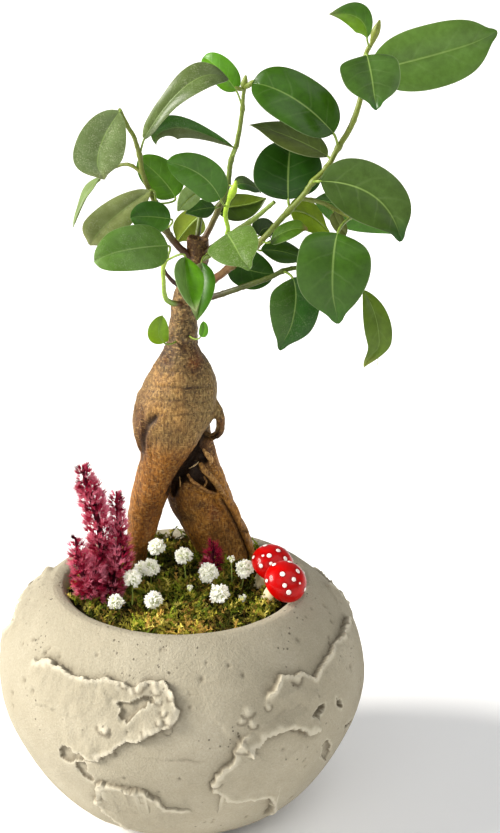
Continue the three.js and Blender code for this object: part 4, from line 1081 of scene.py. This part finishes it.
def leafSkin():
    # Ficus leaf: a smooth waxy skin over deep green, with a pale midrib and faint side veins.
    material, tree, place = startMaterial("waxyLeafTop")
    blade = addNode(tree, "SeparateXYZ", [addNode(tree, "UVMap", uv_map="UVMap")])
    along = blade.outputs[1]
    away = addNode(tree, "Math", [blade, 0.5], operation="SUBTRACT")
    away = addNode(tree, "Math", [away], operation="ABSOLUTE")
    # side veins: pairs that leave the midrib at a slant
    slant = addNode(tree, "Math", [away, -leaf["veinSlant"], along], operation="MULTIPLY_ADD")
    wander = addNode(tree, "TexNoise", {"Vector": place, "Scale": 1000 / 5, "Detail": 2})
    wavy = addNode(tree, "Math", [wander, 0.05, slant], operation="MULTIPLY_ADD")
    counted = addNode(tree, "Math", [wavy, leaf["veinPairs"]], operation="MULTIPLY")
    saw = addNode(tree, "Math", [counted, 1], operation="PINGPONG")
    vein = addNode(tree, "MapRange", [saw, 0, 0.2, 1, 0], interpolation_type="SMOOTHSTEP")
    inBlade = addNode(tree, "MapRange", [away, 0.02, 0.46, 1, 0.15])
    veins = addNode(tree, "Math", [vein, inBlade], operation="MULTIPLY")
    rib = addNode(tree, "MapRange", [away, 0.006, 0.022, 1, 0], interpolation_type="SMOOTHSTEP")
    ribFade = addNode(tree, "MapRange", [along, 0.1, 1, 0.6, 0.15])
    midrib = addNode(tree, "Math", [rib, ribFade], operation="MULTIPLY")
    margin = addNode(tree, "MapRange", [away, 0.482, 0.499], interpolation_type="SMOOTHSTEP")
    mottle = addNode(tree, "TexNoise", {"Vector": place, "Scale": 1000 / 3.5, "Detail": 5, "Roughness": 0.65})
    mottleTone = addNode(tree, "ValToRGB", [mottle], [(0.3, "#CCCC9C"), (0.7, "#FFFFEA")])
    # pale specks in drifts, partly dust and partly painted sheen
    grains = addNode(tree, "TexNoise", {"Vector": place, "Scale": 1000 / 0.6, "Detail": 2, "Roughness": 0.7})
    grainShare = addNode(tree, "MapRange", [grains, 0.5, 0.66])
    drifts = addNode(tree, "TexNoise", {"Vector": place, "Scale": 1000 / 5, "Detail": 3})
    driftShare = addNode(tree, "MapRange", [drifts, 0.38, 0.62, 0.1, 1])
    speckShare = addNode(tree, "Math", [grainShare, driftShare], operation="MULTIPLY")
    dust = addNode(tree, "Attribute", attribute_name="dust").outputs["Fac"]
    tone = addNode(tree, "Attribute", attribute_name="tone")
    tone = addNode(tree, "Mix", [0.8, tone, mottleTone], blend_type="MULTIPLY")
    tone = layTones(tree, tone, [(veins, 0.05, "#9DB57A"), (midrib, 1, "#8CA65A"), (margin, 0.22, "#A9B48C"),
                                 (speckShare, dust, "#B4BA98")])
    sheen = addNode(tree, "Attribute", attribute_name="sheen").outputs["Fac"]
    rough = addNode(tree, "MapRange", [sheen, 0, 1, 0.45, 0.24])
    ribs = addNode(tree, "Math", [veins, midrib], operation="ADD")
    pores = addNode(tree, "TexNoise", {"Vector": place, "Scale": 1000 / 0.7, "Detail": 2})
    pores = addNode(tree, "Math", [pores, 0.12], operation="MULTIPLY")
    relief = addNode(tree, "Math", [pores, ribs], operation="SUBTRACT")
    return endMaterial(
        material, tone, {"Roughness": rough, "IOR": 1.42, "Specular IOR Level": 0.33}, relief, 0.13, 0.4)


def makeLeaves():
    # Leaf stalk: smooth young tissue, yellow-green and satin.
    stalk = fleckedMaterial(
        "satinLeafStalk", {"Roughness": 0.45, "IOR": 1.45}, 2, [(0.3, "#5E7624"), (0.7, "#869C3C")])
    materials = [leafSkin(), stalk]
    for number, row in enumerate(leaves):
        makeLeaf(number, row, materials)


makeLeaves()
print("leaves opened")


# The moss: a low mound of feathery fronds, green in the middle and browner towards the front.

moss = {
    "radius": 49.2, "foot": 93, "top": 99, "ringStep": 1.5, "rings": 31, "fronds": 2900, "ground": "#2E2810",
    # a frond's lean in degrees, its size and its lift, and how near to the wall it turns aside
    "leans": (-8, 58), "sizes": (0.75, 1.15), "lifts": (-0.9, 0.7), "nearWall": 42,
    # how often each of the first six tones is drawn
    "shares": (0.26, 0.2, 0.17, 0.15, 0.12, 0.1),
    # the legs and the stalks that stand in the moss: x, y and radius
    "standing": [(-20.6, 22, 5.5), (19.5, 30, 13), (33, -8, 4.5), (33, 8, 4.5)],
}
mossTones = ["#7A8626", "#8E8A30", "#A0963A", "#5C6A22", "#BEB058", "#46501C", "#9C7C3C"]


def mossHeight(x, y):
    mound = 3 * np.exp(-((x - 2) ** 2 + (y - 22) ** 2) / 900)
    atWall = 1.6 * smooth(36, 47, np.hypot(x, y))
    return 100.6 + mound + atWall + 0.02 * y + 0.5 * np.sin(x / 3.1 + 1) * np.cos(y / 3.7)


def frondShape(seed):
    # a frond: a bent three-sided stem with up to seven pairs of short pointed leaflets
    dice = np.random.default_rng(seed)
    length, bend, sway = dice.uniform(3.6, 6.4), dice.uniform(0.5, 3.0), dice.uniform(-2.2, 2.2)

    def middle(t):
        return np.array([length * t, sway * t * t, bend * t * (1 - t) * 2 + 0.6 * t])

    points = []
    for t, k in itertools.product((0, 0.5, 1), range(3)):
        angle, wide = 2 * math.pi * k / 3, 0.34 * (1 - 0.8 * t)
        points.append(middle(t) + (0, wide * math.cos(angle), wide * math.sin(angle)))
    faces = [(a, b, b + 3, a + 3) for s in (0, 3) for a, b in ((s, s + 1), (s + 1, s + 2), (s + 2, s))]
    faces += [(2, 1, 0), (6, 7, 8)]
    for t, hand in itertools.product(np.linspace(0.12, 0.95, 7), (-1, 1)):
        if dice.random() < 0.12:
            continue
        root, reach = middle(t), 1.9 * (1 - 0.5 * t) * dice.uniform(0.7, 1.2)
        tip = root + (reach * 0.7, hand * reach * 0.7, dice.uniform(-0.7, 1.3))
        start = len(points)
        points += [root + (0.55, 0, 0.2), root + (-0.5, 0, 0.1), root + (0, 0, -0.25), tip]
        faces += [tuple(start + i for i in face[::hand]) for face in ((0, 1, 2), (0, 3, 1), (1, 3, 2), (2, 3, 0))]
    return np.array(points), faces


def layMound():
    # a disc whose top is drawn in to its middle, ring by ring, and then lifted to the height of the moss
    radius = moss["radius"]
    bpy.ops.mesh.primitive_circle_add(vertices=120, radius=radius * mm, location=(0, 0, moss["foot"] * mm))
    startEdit()
    drawRings([(radius, moss["foot"])] + [
        (radius - moss["ringStep"] * k, moss["top"]) for k in range(moss["rings"] + 1)])
    bpy.ops.mesh.merge(type="CENTER")
    bpy.ops.mesh.select_all(action="DESELECT")
    bpy.ops.mesh.select_non_manifold()
    bpy.ops.mesh.edge_face_add()
    mound = endEdit()
    bpy.ops.object.transform_apply(location=True, rotation=True, scale=True)
    points = readPoints(mound)
    top = points[:, 2] > moss["top"] - 2
    lumps = 1.1 * hills(points, 5, 2)
    points[top, 2] = (mossHeight(points[:, 0], points[:, 1]) - 0.9 + lumps)[top]
    movePoints(mound, points)
    storeTone(mound, linear(moss["ground"]))
    return mound


def makeMoss():
    mound = layMound()
    shapes = [frondShape(seed) for seed in range(7)]
    places, tones = [], []
    *greens, brown = (linear(color) for color in mossTones)
    while len(places) < moss["fronds"]:
        angle, reach = chance.uniform(0, 2 * math.pi), moss["radius"] * math.sqrt(chance.random()) * 0.985
        x, y = reach * math.cos(angle), reach * math.sin(angle)
        if any(math.hypot(x - cx, y - cy) < radius * 0.85 for cx, cy, radius in moss["standing"]):
            continue
        lean = math.radians(chance.uniform(*moss["leans"]))
        heading = chance.uniform(0, 2 * math.pi)
        if reach > moss["nearWall"]:
            # a frond near the wall doesn't point at it
            heading = angle + chance.uniform(1.2, 5.1)
        size = chance.uniform(*moss["sizes"])
        turn = np.array(Matrix.Rotation(heading, 3, "Z") @ Matrix.Rotation(-lean, 3, "Y")
                        @ Matrix.Rotation(chance.uniform(-0.6, 0.6), 3, "X")) * size
        lift = chance.uniform(*moss["lifts"]) + 1.5 * hills([(x, y, 0)], 7, 2)[0]
        places.append((int(chance.integers(len(shapes))), turn, np.array([x, y, mossHeight(x, y) + lift - 0.6])))
        if chance.random() < smooth(-6, -40, y) * 0.26 + 0.14:
            color = brown if chance.random() < 0.6 else greens[2]
        else:
            color = greens[chance.choice(len(greens), p=moss["shares"])]
        # deep fronds get painted shade, and those at the front painted light
        tones.append(color * (0.08 + 1.2 * smooth(-1.7, 1.3, lift)) * (1 + 0.42 * smooth(-14, -40, y)))
    fronds, owner = scatter("fronds", shapes, places)
    tone = np.array(tones)[owner]
    tone[:, 3] = 1
    storeTone(fronds, tone)
    # Feather moss, cut and laid: soft and quite matte, from yellow-green tips to brown, with depths made near black by
    # painted shade.
    material = fleckedMaterial(
        "featherMoss", {"Roughness": 0.95, "IOR": 1.35, "Specular IOR Level": 0.15}, 1.4,
        [(0.3, "#A8A890"), (0.7, "#FFFFFF")], share=0.7)
    finishPiece(joinPieces(mound, fronds), "mossCarpet", [material], "moss")


makeMoss()
print("moss laid")


# The heather: dense crimson sprigs of tiny pointed florets.

heather = {
    "floretSize": 2.1, "sizes": (0.65, 1.15), "step": 1.5, "gap": 1.7, "crowding": 1.7, "soilLine": 96,
    "core": "#4A1022",
    # florets from deep inside to the outermost, the deep ones darkened by painted shade, and how much darker those of
    # the small tip are
    "tones": ("#280410", "#CC2C54", "#FF9CB4"), "tipDarker": 0.22,
}
heatherSpires = {
    "heather_sprig": [
        [(-35, -8, 86, 1.2), (-35, -8, 99, 3.5), (-35, -7, 108, 6), (-34, -7, 121, 5), (-35, -8, 135, 4.9),
         (-37.5, -8, 147, 5), (-40, -8, 156, 3.6), (-41, -8, 162.5, 1)],
        [(-35, -8, 98, 3), (-30, -10, 106, 5.4), (-27, -9, 118, 5.2), (-26.5, -6, 127, 3.6), (-27, -3, 138, 2.8),
         (-27.5, 0, 147.5, 0.9)],
        [(-36, -9, 98, 3), (-39, -14, 107, 5.2), (-42, -16, 117, 4.8), (-43.5, -16, 126, 3.2), (-44.5, -16, 133, 0.9)],
        [(-36, -9, 98, 3), (-37, -15, 104, 4.2), (-37, -16, 114, 3.8), (-36, -15, 122, 1.4)],
    ],
    "heather_tip": [
        [(12, 10, 90, 0.8), (13, 9, 101, 1.8), (13, 9, 108, 3.5), (14, 9, 115, 2.2), (14, 9, 119, 0.9)],
    ],
}


def floretShape(seed):
    # a floret: seven bent pointed petals that fan out from one spot, round an upright one
    dice = np.random.default_rng(seed)
    points, faces = [], []
    for k in range(8):
        angle = 2 * math.pi * k / 7 + dice.uniform(-0.4, 0.4)
        out = 0.2 if k == 7 else dice.uniform(0.35, 0.85)
        ahead, side = np.array([[math.cos(angle), math.sin(angle), 0], [-math.sin(angle), math.cos(angle), 0]])
        root, side = ahead * 0.1, side * 0.12
        start = len(points)
        points += [root + side, root - side, root * 2.6 + (0, 0, 0.42), ahead * out + (0, 0, dice.uniform(0.9, 1.9))]
        faces += [tuple(start + i for i in face) for face in ((0, 2, 1), (0, 1, 3), (1, 2, 3), (2, 0, 3))]
    return np.array(points), faces


def makeHeather():
    # Dyed dried heather: dry, papery and matte, crimson-pink with paler tips, and painted shade making its depths dark
    # wine.
    material = fleckedMaterial(
        "driedHeather", {"Roughness": 0.88, "IOR": 1.4, "Specular IOR Level": 0.12}, 1.1,
        [(0.3, "#B8A0A4"), (0.7, "#FFFFFF")], share=0.7)
    shapes = [floretShape(seed) for seed in range(20, 26)]
    colors = [linear(color) for color in heather["tones"]]
    for name, spires in heatherSpires.items():
        cores, places, shares = [], [], []
        for spire in spires:
            rows = evenly(spire, heather["step"])
            cores.append(growRound(rows * (1, 1, 1, 0.22) + (0, 0, 0, 0.2)))
            for row, after in zip(rows, rows[1:]):
                if row[2] < heather["soilLine"]:
                    continue
                axis = Vector(after[:3] - row[:3]).normalized()
                skin = 2 * math.pi * row[3] * heather["step"]
                for k in range(max(4, int(skin / heather["gap"] ** 2 * heather["crowding"]))):
                    out = Quaternion(axis, chance.uniform(0, 2 * math.pi)) @ axis.orthogonal().normalized()
                    rough = 0.45 + 0.6 * chance.random()
                    spot = row[:3] + np.array(out) * row[3] * rough + np.array(axis) * chance.uniform(0, 1.5)
                    # tufts with gaps between them, wider higher up
                    if hills([spot], 4.5, 2)[0] < -0.62 + 0.2 * smooth(112, 140, row[2]):
                        continue
                    facing = out + axis * chance.uniform(0.5, 1.6) + Vector(chance.uniform(-0.4, 0.4, 3))
                    size = heather["floretSize"] * chance.uniform(*heather["sizes"])
                    which = chance.integers(len(shapes))
                    places.append((which, turnTo(facing, chance.uniform(0, 6.28)) * size, spot))
                    # florets deeper in the spire get a darker tone, as painted shade
                    share = chance.random() * 0.6 + 0.55 * (rough - 0.45) / 0.6 - 0.04 + 0.5 * hills([spot + 40], 4)[0]
                    shares.append(share - heather["tipDarker"] * (name == "heather_tip"))
        florets, owner = scatter("florets", shapes, places)
        storeTone(florets, toneAt(shares, (0, 0.5, 1), colors)[owner])
        core = joinPieces(*cores)
        storeTone(core, linear(heather["core"]))
        label = "".join(word.title() for word in name.split("_"))
        finishPiece(joinPieces(core, florets), "dried" + label, [material], name)


makeHeather()
print("heather planted")


# The gypsophila: small ruffled white heads on thin stems.

gypsophila = {
    "stem": 0.3, "white": "#FFFEF4", "green": "#A4AC74", "stalk": "#76863A",
    # florets of a full head and of a bud, petals of a floret, their lean in degrees and their size
    "florets": (13, 4), "petals": 6, "leans": (28, 62), "sizes": (0.46, 0.66),
    # a root, then its heads with their radius
    "groups": [
        [(-14, 4, 88), [(-11, 12, 115.5, 3.8), (-13, -2, 112, 3.8), (-17, 1, 110, 3.4)]],
        [(-21, -22, 88), [(-20.4, -15, 113, 3.8), (-27, -26, 107, 3.4), (-11, -26, 108, 3.8)]],
        [(4, 2, 88), [(1, 8, 113, 3.8), (12, -3, 110, 4.2), (4, -12, 107, 1.6)]],
        [(23, -8, 88), [(17, -18, 107, 4.2), (28, 0, 110.5, 4), (22, 5, 113, 1.8), (27, -18, 105, 1.8)]],
    ],
}


def petalShape(seed):
    # a petal: a thin cupped wedge with a notched, ruffled edge
    dice = np.random.default_rng(seed)
    rows, points, faces = [(0.0, 0.1), (0.45, 0.34), (0.8, 0.46), (1.0, 0.36)], [], []
    for layer, (along, half), across in itertools.product((0, 1), rows, (-1, 0, 1)):
        curl = 0.25 * along ** 2 + 0.1 * abs(across) + (dice.uniform(-0.09, 0.09) if along > 0.5 else 0)
        notch = 0.12 if along == 1 and across == 0 else 0
        points.append((half * across, -curl * 1.1 + 0.05 * layer, along - notch + 0.03 * layer))
    back = 3 * len(rows)
    for a in (0, 1, 3, 4, 6, 7):
        faces += [(a, a + 1, a + 4, a + 3), (a + back, a + back + 3, a + back + 4, a + back + 1)]
    rim = [0, 1, 2, 5, 8, 11, 10, 9, 6, 3]
    faces += [(b, a, a + back, b + back) for a, b in zip(rim, rim[1:] + rim[:1])]
    return np.array(points), faces


def spreadPetals(centre, radius, shapes, places):
    # small florets, spread over a ball
    florets = gypsophila["florets"][0 if radius > 3 else 1]
    for k in range(florets):
        high = 1 - 1.7 * (k + 0.5) / florets
        angle = k * 2.4 + chance.uniform(-0.3, 0.3)
        level = math.sqrt(max(0, 1 - high * high))
        out = np.array([level * math.cos(angle), level * math.sin(angle), high])
        whirl = turnTo(out, chance.uniform(0, 6.28))
        for petal in range(gypsophila["petals"]):
            lean = math.radians(chance.uniform(*gypsophila["leans"]))
            swing = math.radians(360 / gypsophila["petals"] * petal + chance.uniform(-14, 14))
            facing = whirl @ (math.sin(lean) * math.cos(swing), math.sin(lean) * math.sin(swing), math.cos(lean))
            size = radius * chance.uniform(*gypsophila["sizes"])
            which = chance.integers(len(shapes))
            turn = turnTo(facing, chance.uniform(0, 6.28)) * size
            places.append((which, turn, np.array(centre) + out * radius * chance.uniform(0.42, 0.56)))


def makeGypsophila():
    # Gypsophila petals: thin, soft and matte, milk white with green deep in the head, partly the flowers' own green
    # and partly painted shade between the florets. They are so thin that they pass light on from every side, which a
    # faint glow stands for.
    petal = fleckedMaterial("gypsophilaPetal", {
        "Roughness": 0.8, "IOR": 1.4, "Subsurface Weight": 0.8, "Subsurface Radius": (1, 1, 0.8),
        "Subsurface Scale": 0.003, "Emission Color": "#FFFBEA", "Emission Strength": 0.13,
    }, 1.5, [(0.3, "#E4E6D8"), (0.7, "#FFFFFF")], share=0.8, detail=2)
    # Wiry flower stem, grown: smooth and satin, yellow-green.
    skin = fleckedMaterial(
        "wiryFlowerStem", {"Roughness": 0.5, "IOR": 1.45}, 2, [(0.3, "#5E6C24"), (0.7, "#8C9A44")])
    shapes = [petalShape(seed) for seed in range(40, 45)]
    for number, (root, heads) in enumerate(gypsophila["groups"]):
        stems, balls, places = [], [], []
        for x, y, z, radius in heads:
            bend = ((root[0] + 2 * x) / 3, (root[1] + 2 * y) / 3, (root[2] + z) / 2 + 2)
            line = evenly([(*root, 0.4), (*bend, gypsophila["stem"]), (x, y, z, gypsophila["stem"])], 1.0)
            stems.append(growRound(line, 8))
            # a lumpy ball inside each head, toned green, partly the flowers' own and partly painted shade in the gaps
            bpy.ops.mesh.primitive_ico_sphere_add(subdivisions=3, radius=mm, location=(0, 0, 0))
            balls.append(bpy.context.active_object)
            lumps = readPoints(balls[-1])
            lumps *= radius * (0.62 + 0.12 * hills(lumps * radius + x, 1.6, 2))[:, None]
            movePoints(balls[-1], lumps + (x, y, z))
            storeTone(balls[-1], linear(gypsophila["green"]))
            spreadPetals((x, y, z), radius, shapes, places)
        flowers, _ = scatter("petals", shapes, places)
        points = readPoints(flowers)
        # green near the middle of a head and white further out; the green is partly the flowers' own and partly
        # painted shade between the florets
        away = np.min([np.linalg.norm(points - head[:3], axis=1) / head[3] for head in heads], axis=0)
        storeTone(flowers, stain(linear(gypsophila["green"]), gypsophila["white"], smooth(0.55, 0.86, away)))
        stalks = joinPieces(*stems)
        storeTone(stalks, linear(gypsophila["stalk"]))
        for piece in (stalks, flowers, *balls):
            giveMaterials(piece, [petal, skin], int(piece is stalks))
        finishPiece(joinPieces(stalks, flowers, *balls), "gypsophilaSprig%d" % (number + 1), None,
                    "gypsophila_%d" % (number + 1), smoothTo=50)


makeGypsophila()
print("gypsophila planted")


# The toadstool picks: lacquered red caps with white dots on thick pale stalks.

toadstool = {
    "capRadius": 9.5, "stalkRadius": 4.4, "seatGap": 0.3, "paint": "#B80303", "dot": "#F6F1EA", "ring": "#7A0508",
    # the dome's middle and its height, as shares of its radius, and how many degrees it reaches below its middle
    "domeFoot": 0.28, "domeHigh": 0.82, "brim": 18, "dotHeight": 0.24,
    "front": {"under": (44.2, -18, 111.6), "facing": (0.42, -0.55, 0.72), "foot": (33, -8, 90)},
    "back": {"under": (39, 0, 111), "facing": (0.35, -0.35, 0.87), "foot": (33, 8, 90)},
    # dots as degrees round the cap's axis, degrees down from its top, and radius
    "frontDots": [(-166, 29, 1.25), (-71, 14, 1.05), (51, 21, 1.1), (-113, 40, 1.05), (-87, 52, 1.3), (-17, 63, 1.15),
                  (-31, 30, 0.6), (100, 50, 1.1), (150, 66, 1.1), (40, 62, 1.0), (75, 80, 1.0), (-160, 84, 1.0)],
    "backDots": [(-147, 29, 1.2), (100, 8, 1.1), (-25, 24, 1.1), (-112, 42, 0.9), (-134, 67, 1.1), (-159, 45, 0.7),
                 (60, 45, 1.1), (140, 50, 1.1), (20, 66, 1.0), (-50, 70, 1.0), (95, 78, 1.0), (-175, 80, 1.0)],
}


def onDome(across, up):
    # across and up of the unit circle, brought onto the dome
    radius = toadstool["capRadius"]
    return radius * across, radius * toadstool["domeFoot"] + radius * toadstool["domeHigh"] * up


def spinCap():
    # the outline of half a cap, drawn as a string of edges and spun round
    radius = toadstool["capRadius"]
    line = [(0.01, 0.0), (radius * 0.5, 0.15), (radius * 0.86, 0.0)]
    for k in range(1, 13):
        angle = math.radians(-toadstool["brim"] + (90 + toadstool["brim"]) * k / 12)
        across, up = onDome(math.cos(angle), math.sin(angle))
        line.append((max(across, 0.01), up))
    bpy.ops.mesh.primitive_plane_add(size=mm, location=(0, 0, 0))
    startEdit()
    bpy.ops.mesh.merge(type="CENTER")
    bpy.ops.transform.translate(value=(line[0][0] * mm, 0, line[0][1] * mm))
    for (x0, z0), (x1, z1) in zip(line, line[1:]):
        bpy.ops.mesh.extrude_vertices_move(TRANSFORM_OT_translate={"value": ((x1 - x0) * mm, 0, (z1 - z0) * mm)})
    bpy.ops.mesh.select_all(action="SELECT")
    bpy.ops.mesh.spin(steps=64, angle=2 * math.pi, center=(0, 0, 0), axis=(0, 0, 1))
    bpy.ops.mesh.select_all(action="SELECT")
    bpy.ops.mesh.remove_doubles(threshold=3e-5)
    cap = endEdit()
    applyModifier(cap, "SUBSURF", levels=1, render_levels=1)
    return cap


def makeCap(name, lacquer):
    cap, dots, middles = spinCap(), [], []
    for k, (swing, down, size) in enumerate(toadstool[name + "Dots"]):
        swing, down = math.radians(swing), math.radians(down)
        out = Vector((math.sin(down) * math.cos(swing), math.sin(down) * math.sin(swing), math.cos(down)))
        reach, up = onDome(1, out.z)
        middles.append(np.array([reach * out.x, reach * out.y, up]))
        bpy.ops.mesh.primitive_uv_sphere_add(segments=20, ring_count=10, radius=mm, location=(0, 0, 0))
        dots.append(bpy.context.active_object)
        flat = readPoints(dots[-1]) * (0.9 * size * (1 + 0.12 * math.sin(k)), 0.9 * size, toadstool["dotHeight"])
        steep = (out.x, out.y, out.z / toadstool["domeHigh"])
        movePoints(dots[-1], flat @ turnTo(steep, k).T + middles[-1])
        storeTone(dots[-1], linear(toadstool["dot"]))
    # a dark ring of paint round each dot
    near = np.min([np.linalg.norm(readPoints(cap) - middle, axis=1) for middle in middles], axis=0)
    storeTone(cap, stain(linear(toadstool["paint"]), toadstool["ring"], 0.55 * bell(near, 1.35, 0.5)))
    whole = joinPieces(cap, *dots)
    place = toadstool[name]
    movePoints(whole, readPoints(whole) @ turnTo(place["facing"]).T + np.array(place["under"]))
    finishPiece(whole, name + "ToadstoolCap", [lacquer], name + "_toadstool_cap", smoothTo=50)


def makeToadstools():
    # Painted moulded foam under gloss lacquer: saturated red, slightly uneven, with sharp soft highlights.
    lacquer = fleckedMaterial("redGlossLacquer", {
        "Roughness": 0.3, "IOR": 1.4, "Specular IOR Level": 0.1, "Coat Weight": 0.2, "Coat Roughness": 0.08,
    }, 5, [(0.3, "#D8CCCC"), (0.7, "#FFFFFF")], share=0.8, bump=(0.1, 0.4))
    # Moulded foam stalk, painted cream: matte, faintly streaked along its length.
    foam = fleckedMaterial(
        "creamFoamStalk", {"Roughness": 0.78, "IOR": 1.45}, 1.6,
        [(0.25, "#B9A67C"), (0.5, "#D9CBA4"), (0.75, "#EFE6C8")], bump=(0.3, 0.4), detail=4, stretch=0.25)
    wide = toadstool["stalkRadius"]
    for name in ("front", "back"):
        makeCap(name, lacquer)
        under, facing, foot = (Vector(toadstool[name][key]) for key in ("under", "facing", "foot"))
        top = under - facing.normalized() * toadstool["seatGap"]
        bend = top - facing.normalized() * 7
        part = foot.lerp(bend, 0.6)
        rows = [(*foot, wide * 0.8), (*part, wide * 0.9), (*bend, wide * 0.95), (*top, wide)]
        stalk = growRound(evenly(rows, 0.8), 24)
        swell(stalk, 2.5, 0.12, -0.1)
        finishPiece(stalk, name + "ToadstoolStalk", [foam], name + "_toadstool_stalk", smoothTo=50)


makeToadstools()
print("toadstools set")


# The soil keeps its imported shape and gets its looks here.

def dressSoil():
    # Peat and bark compost, filled and pressed: dark, damp, matte and crumbly.
    giveMaterials(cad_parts["soil"], [fleckedMaterial(
        "peatCompost", {"Roughness": 0.96, "IOR": 1.4}, 2.2,
        [(0.1, "#4A3524"), (0.5, "#33241A"), (0.9, "#1C130D")], bump=(0.8, 1), kind="TexVoronoi", detail=0)])


dressSoil()
print("soil dressed")
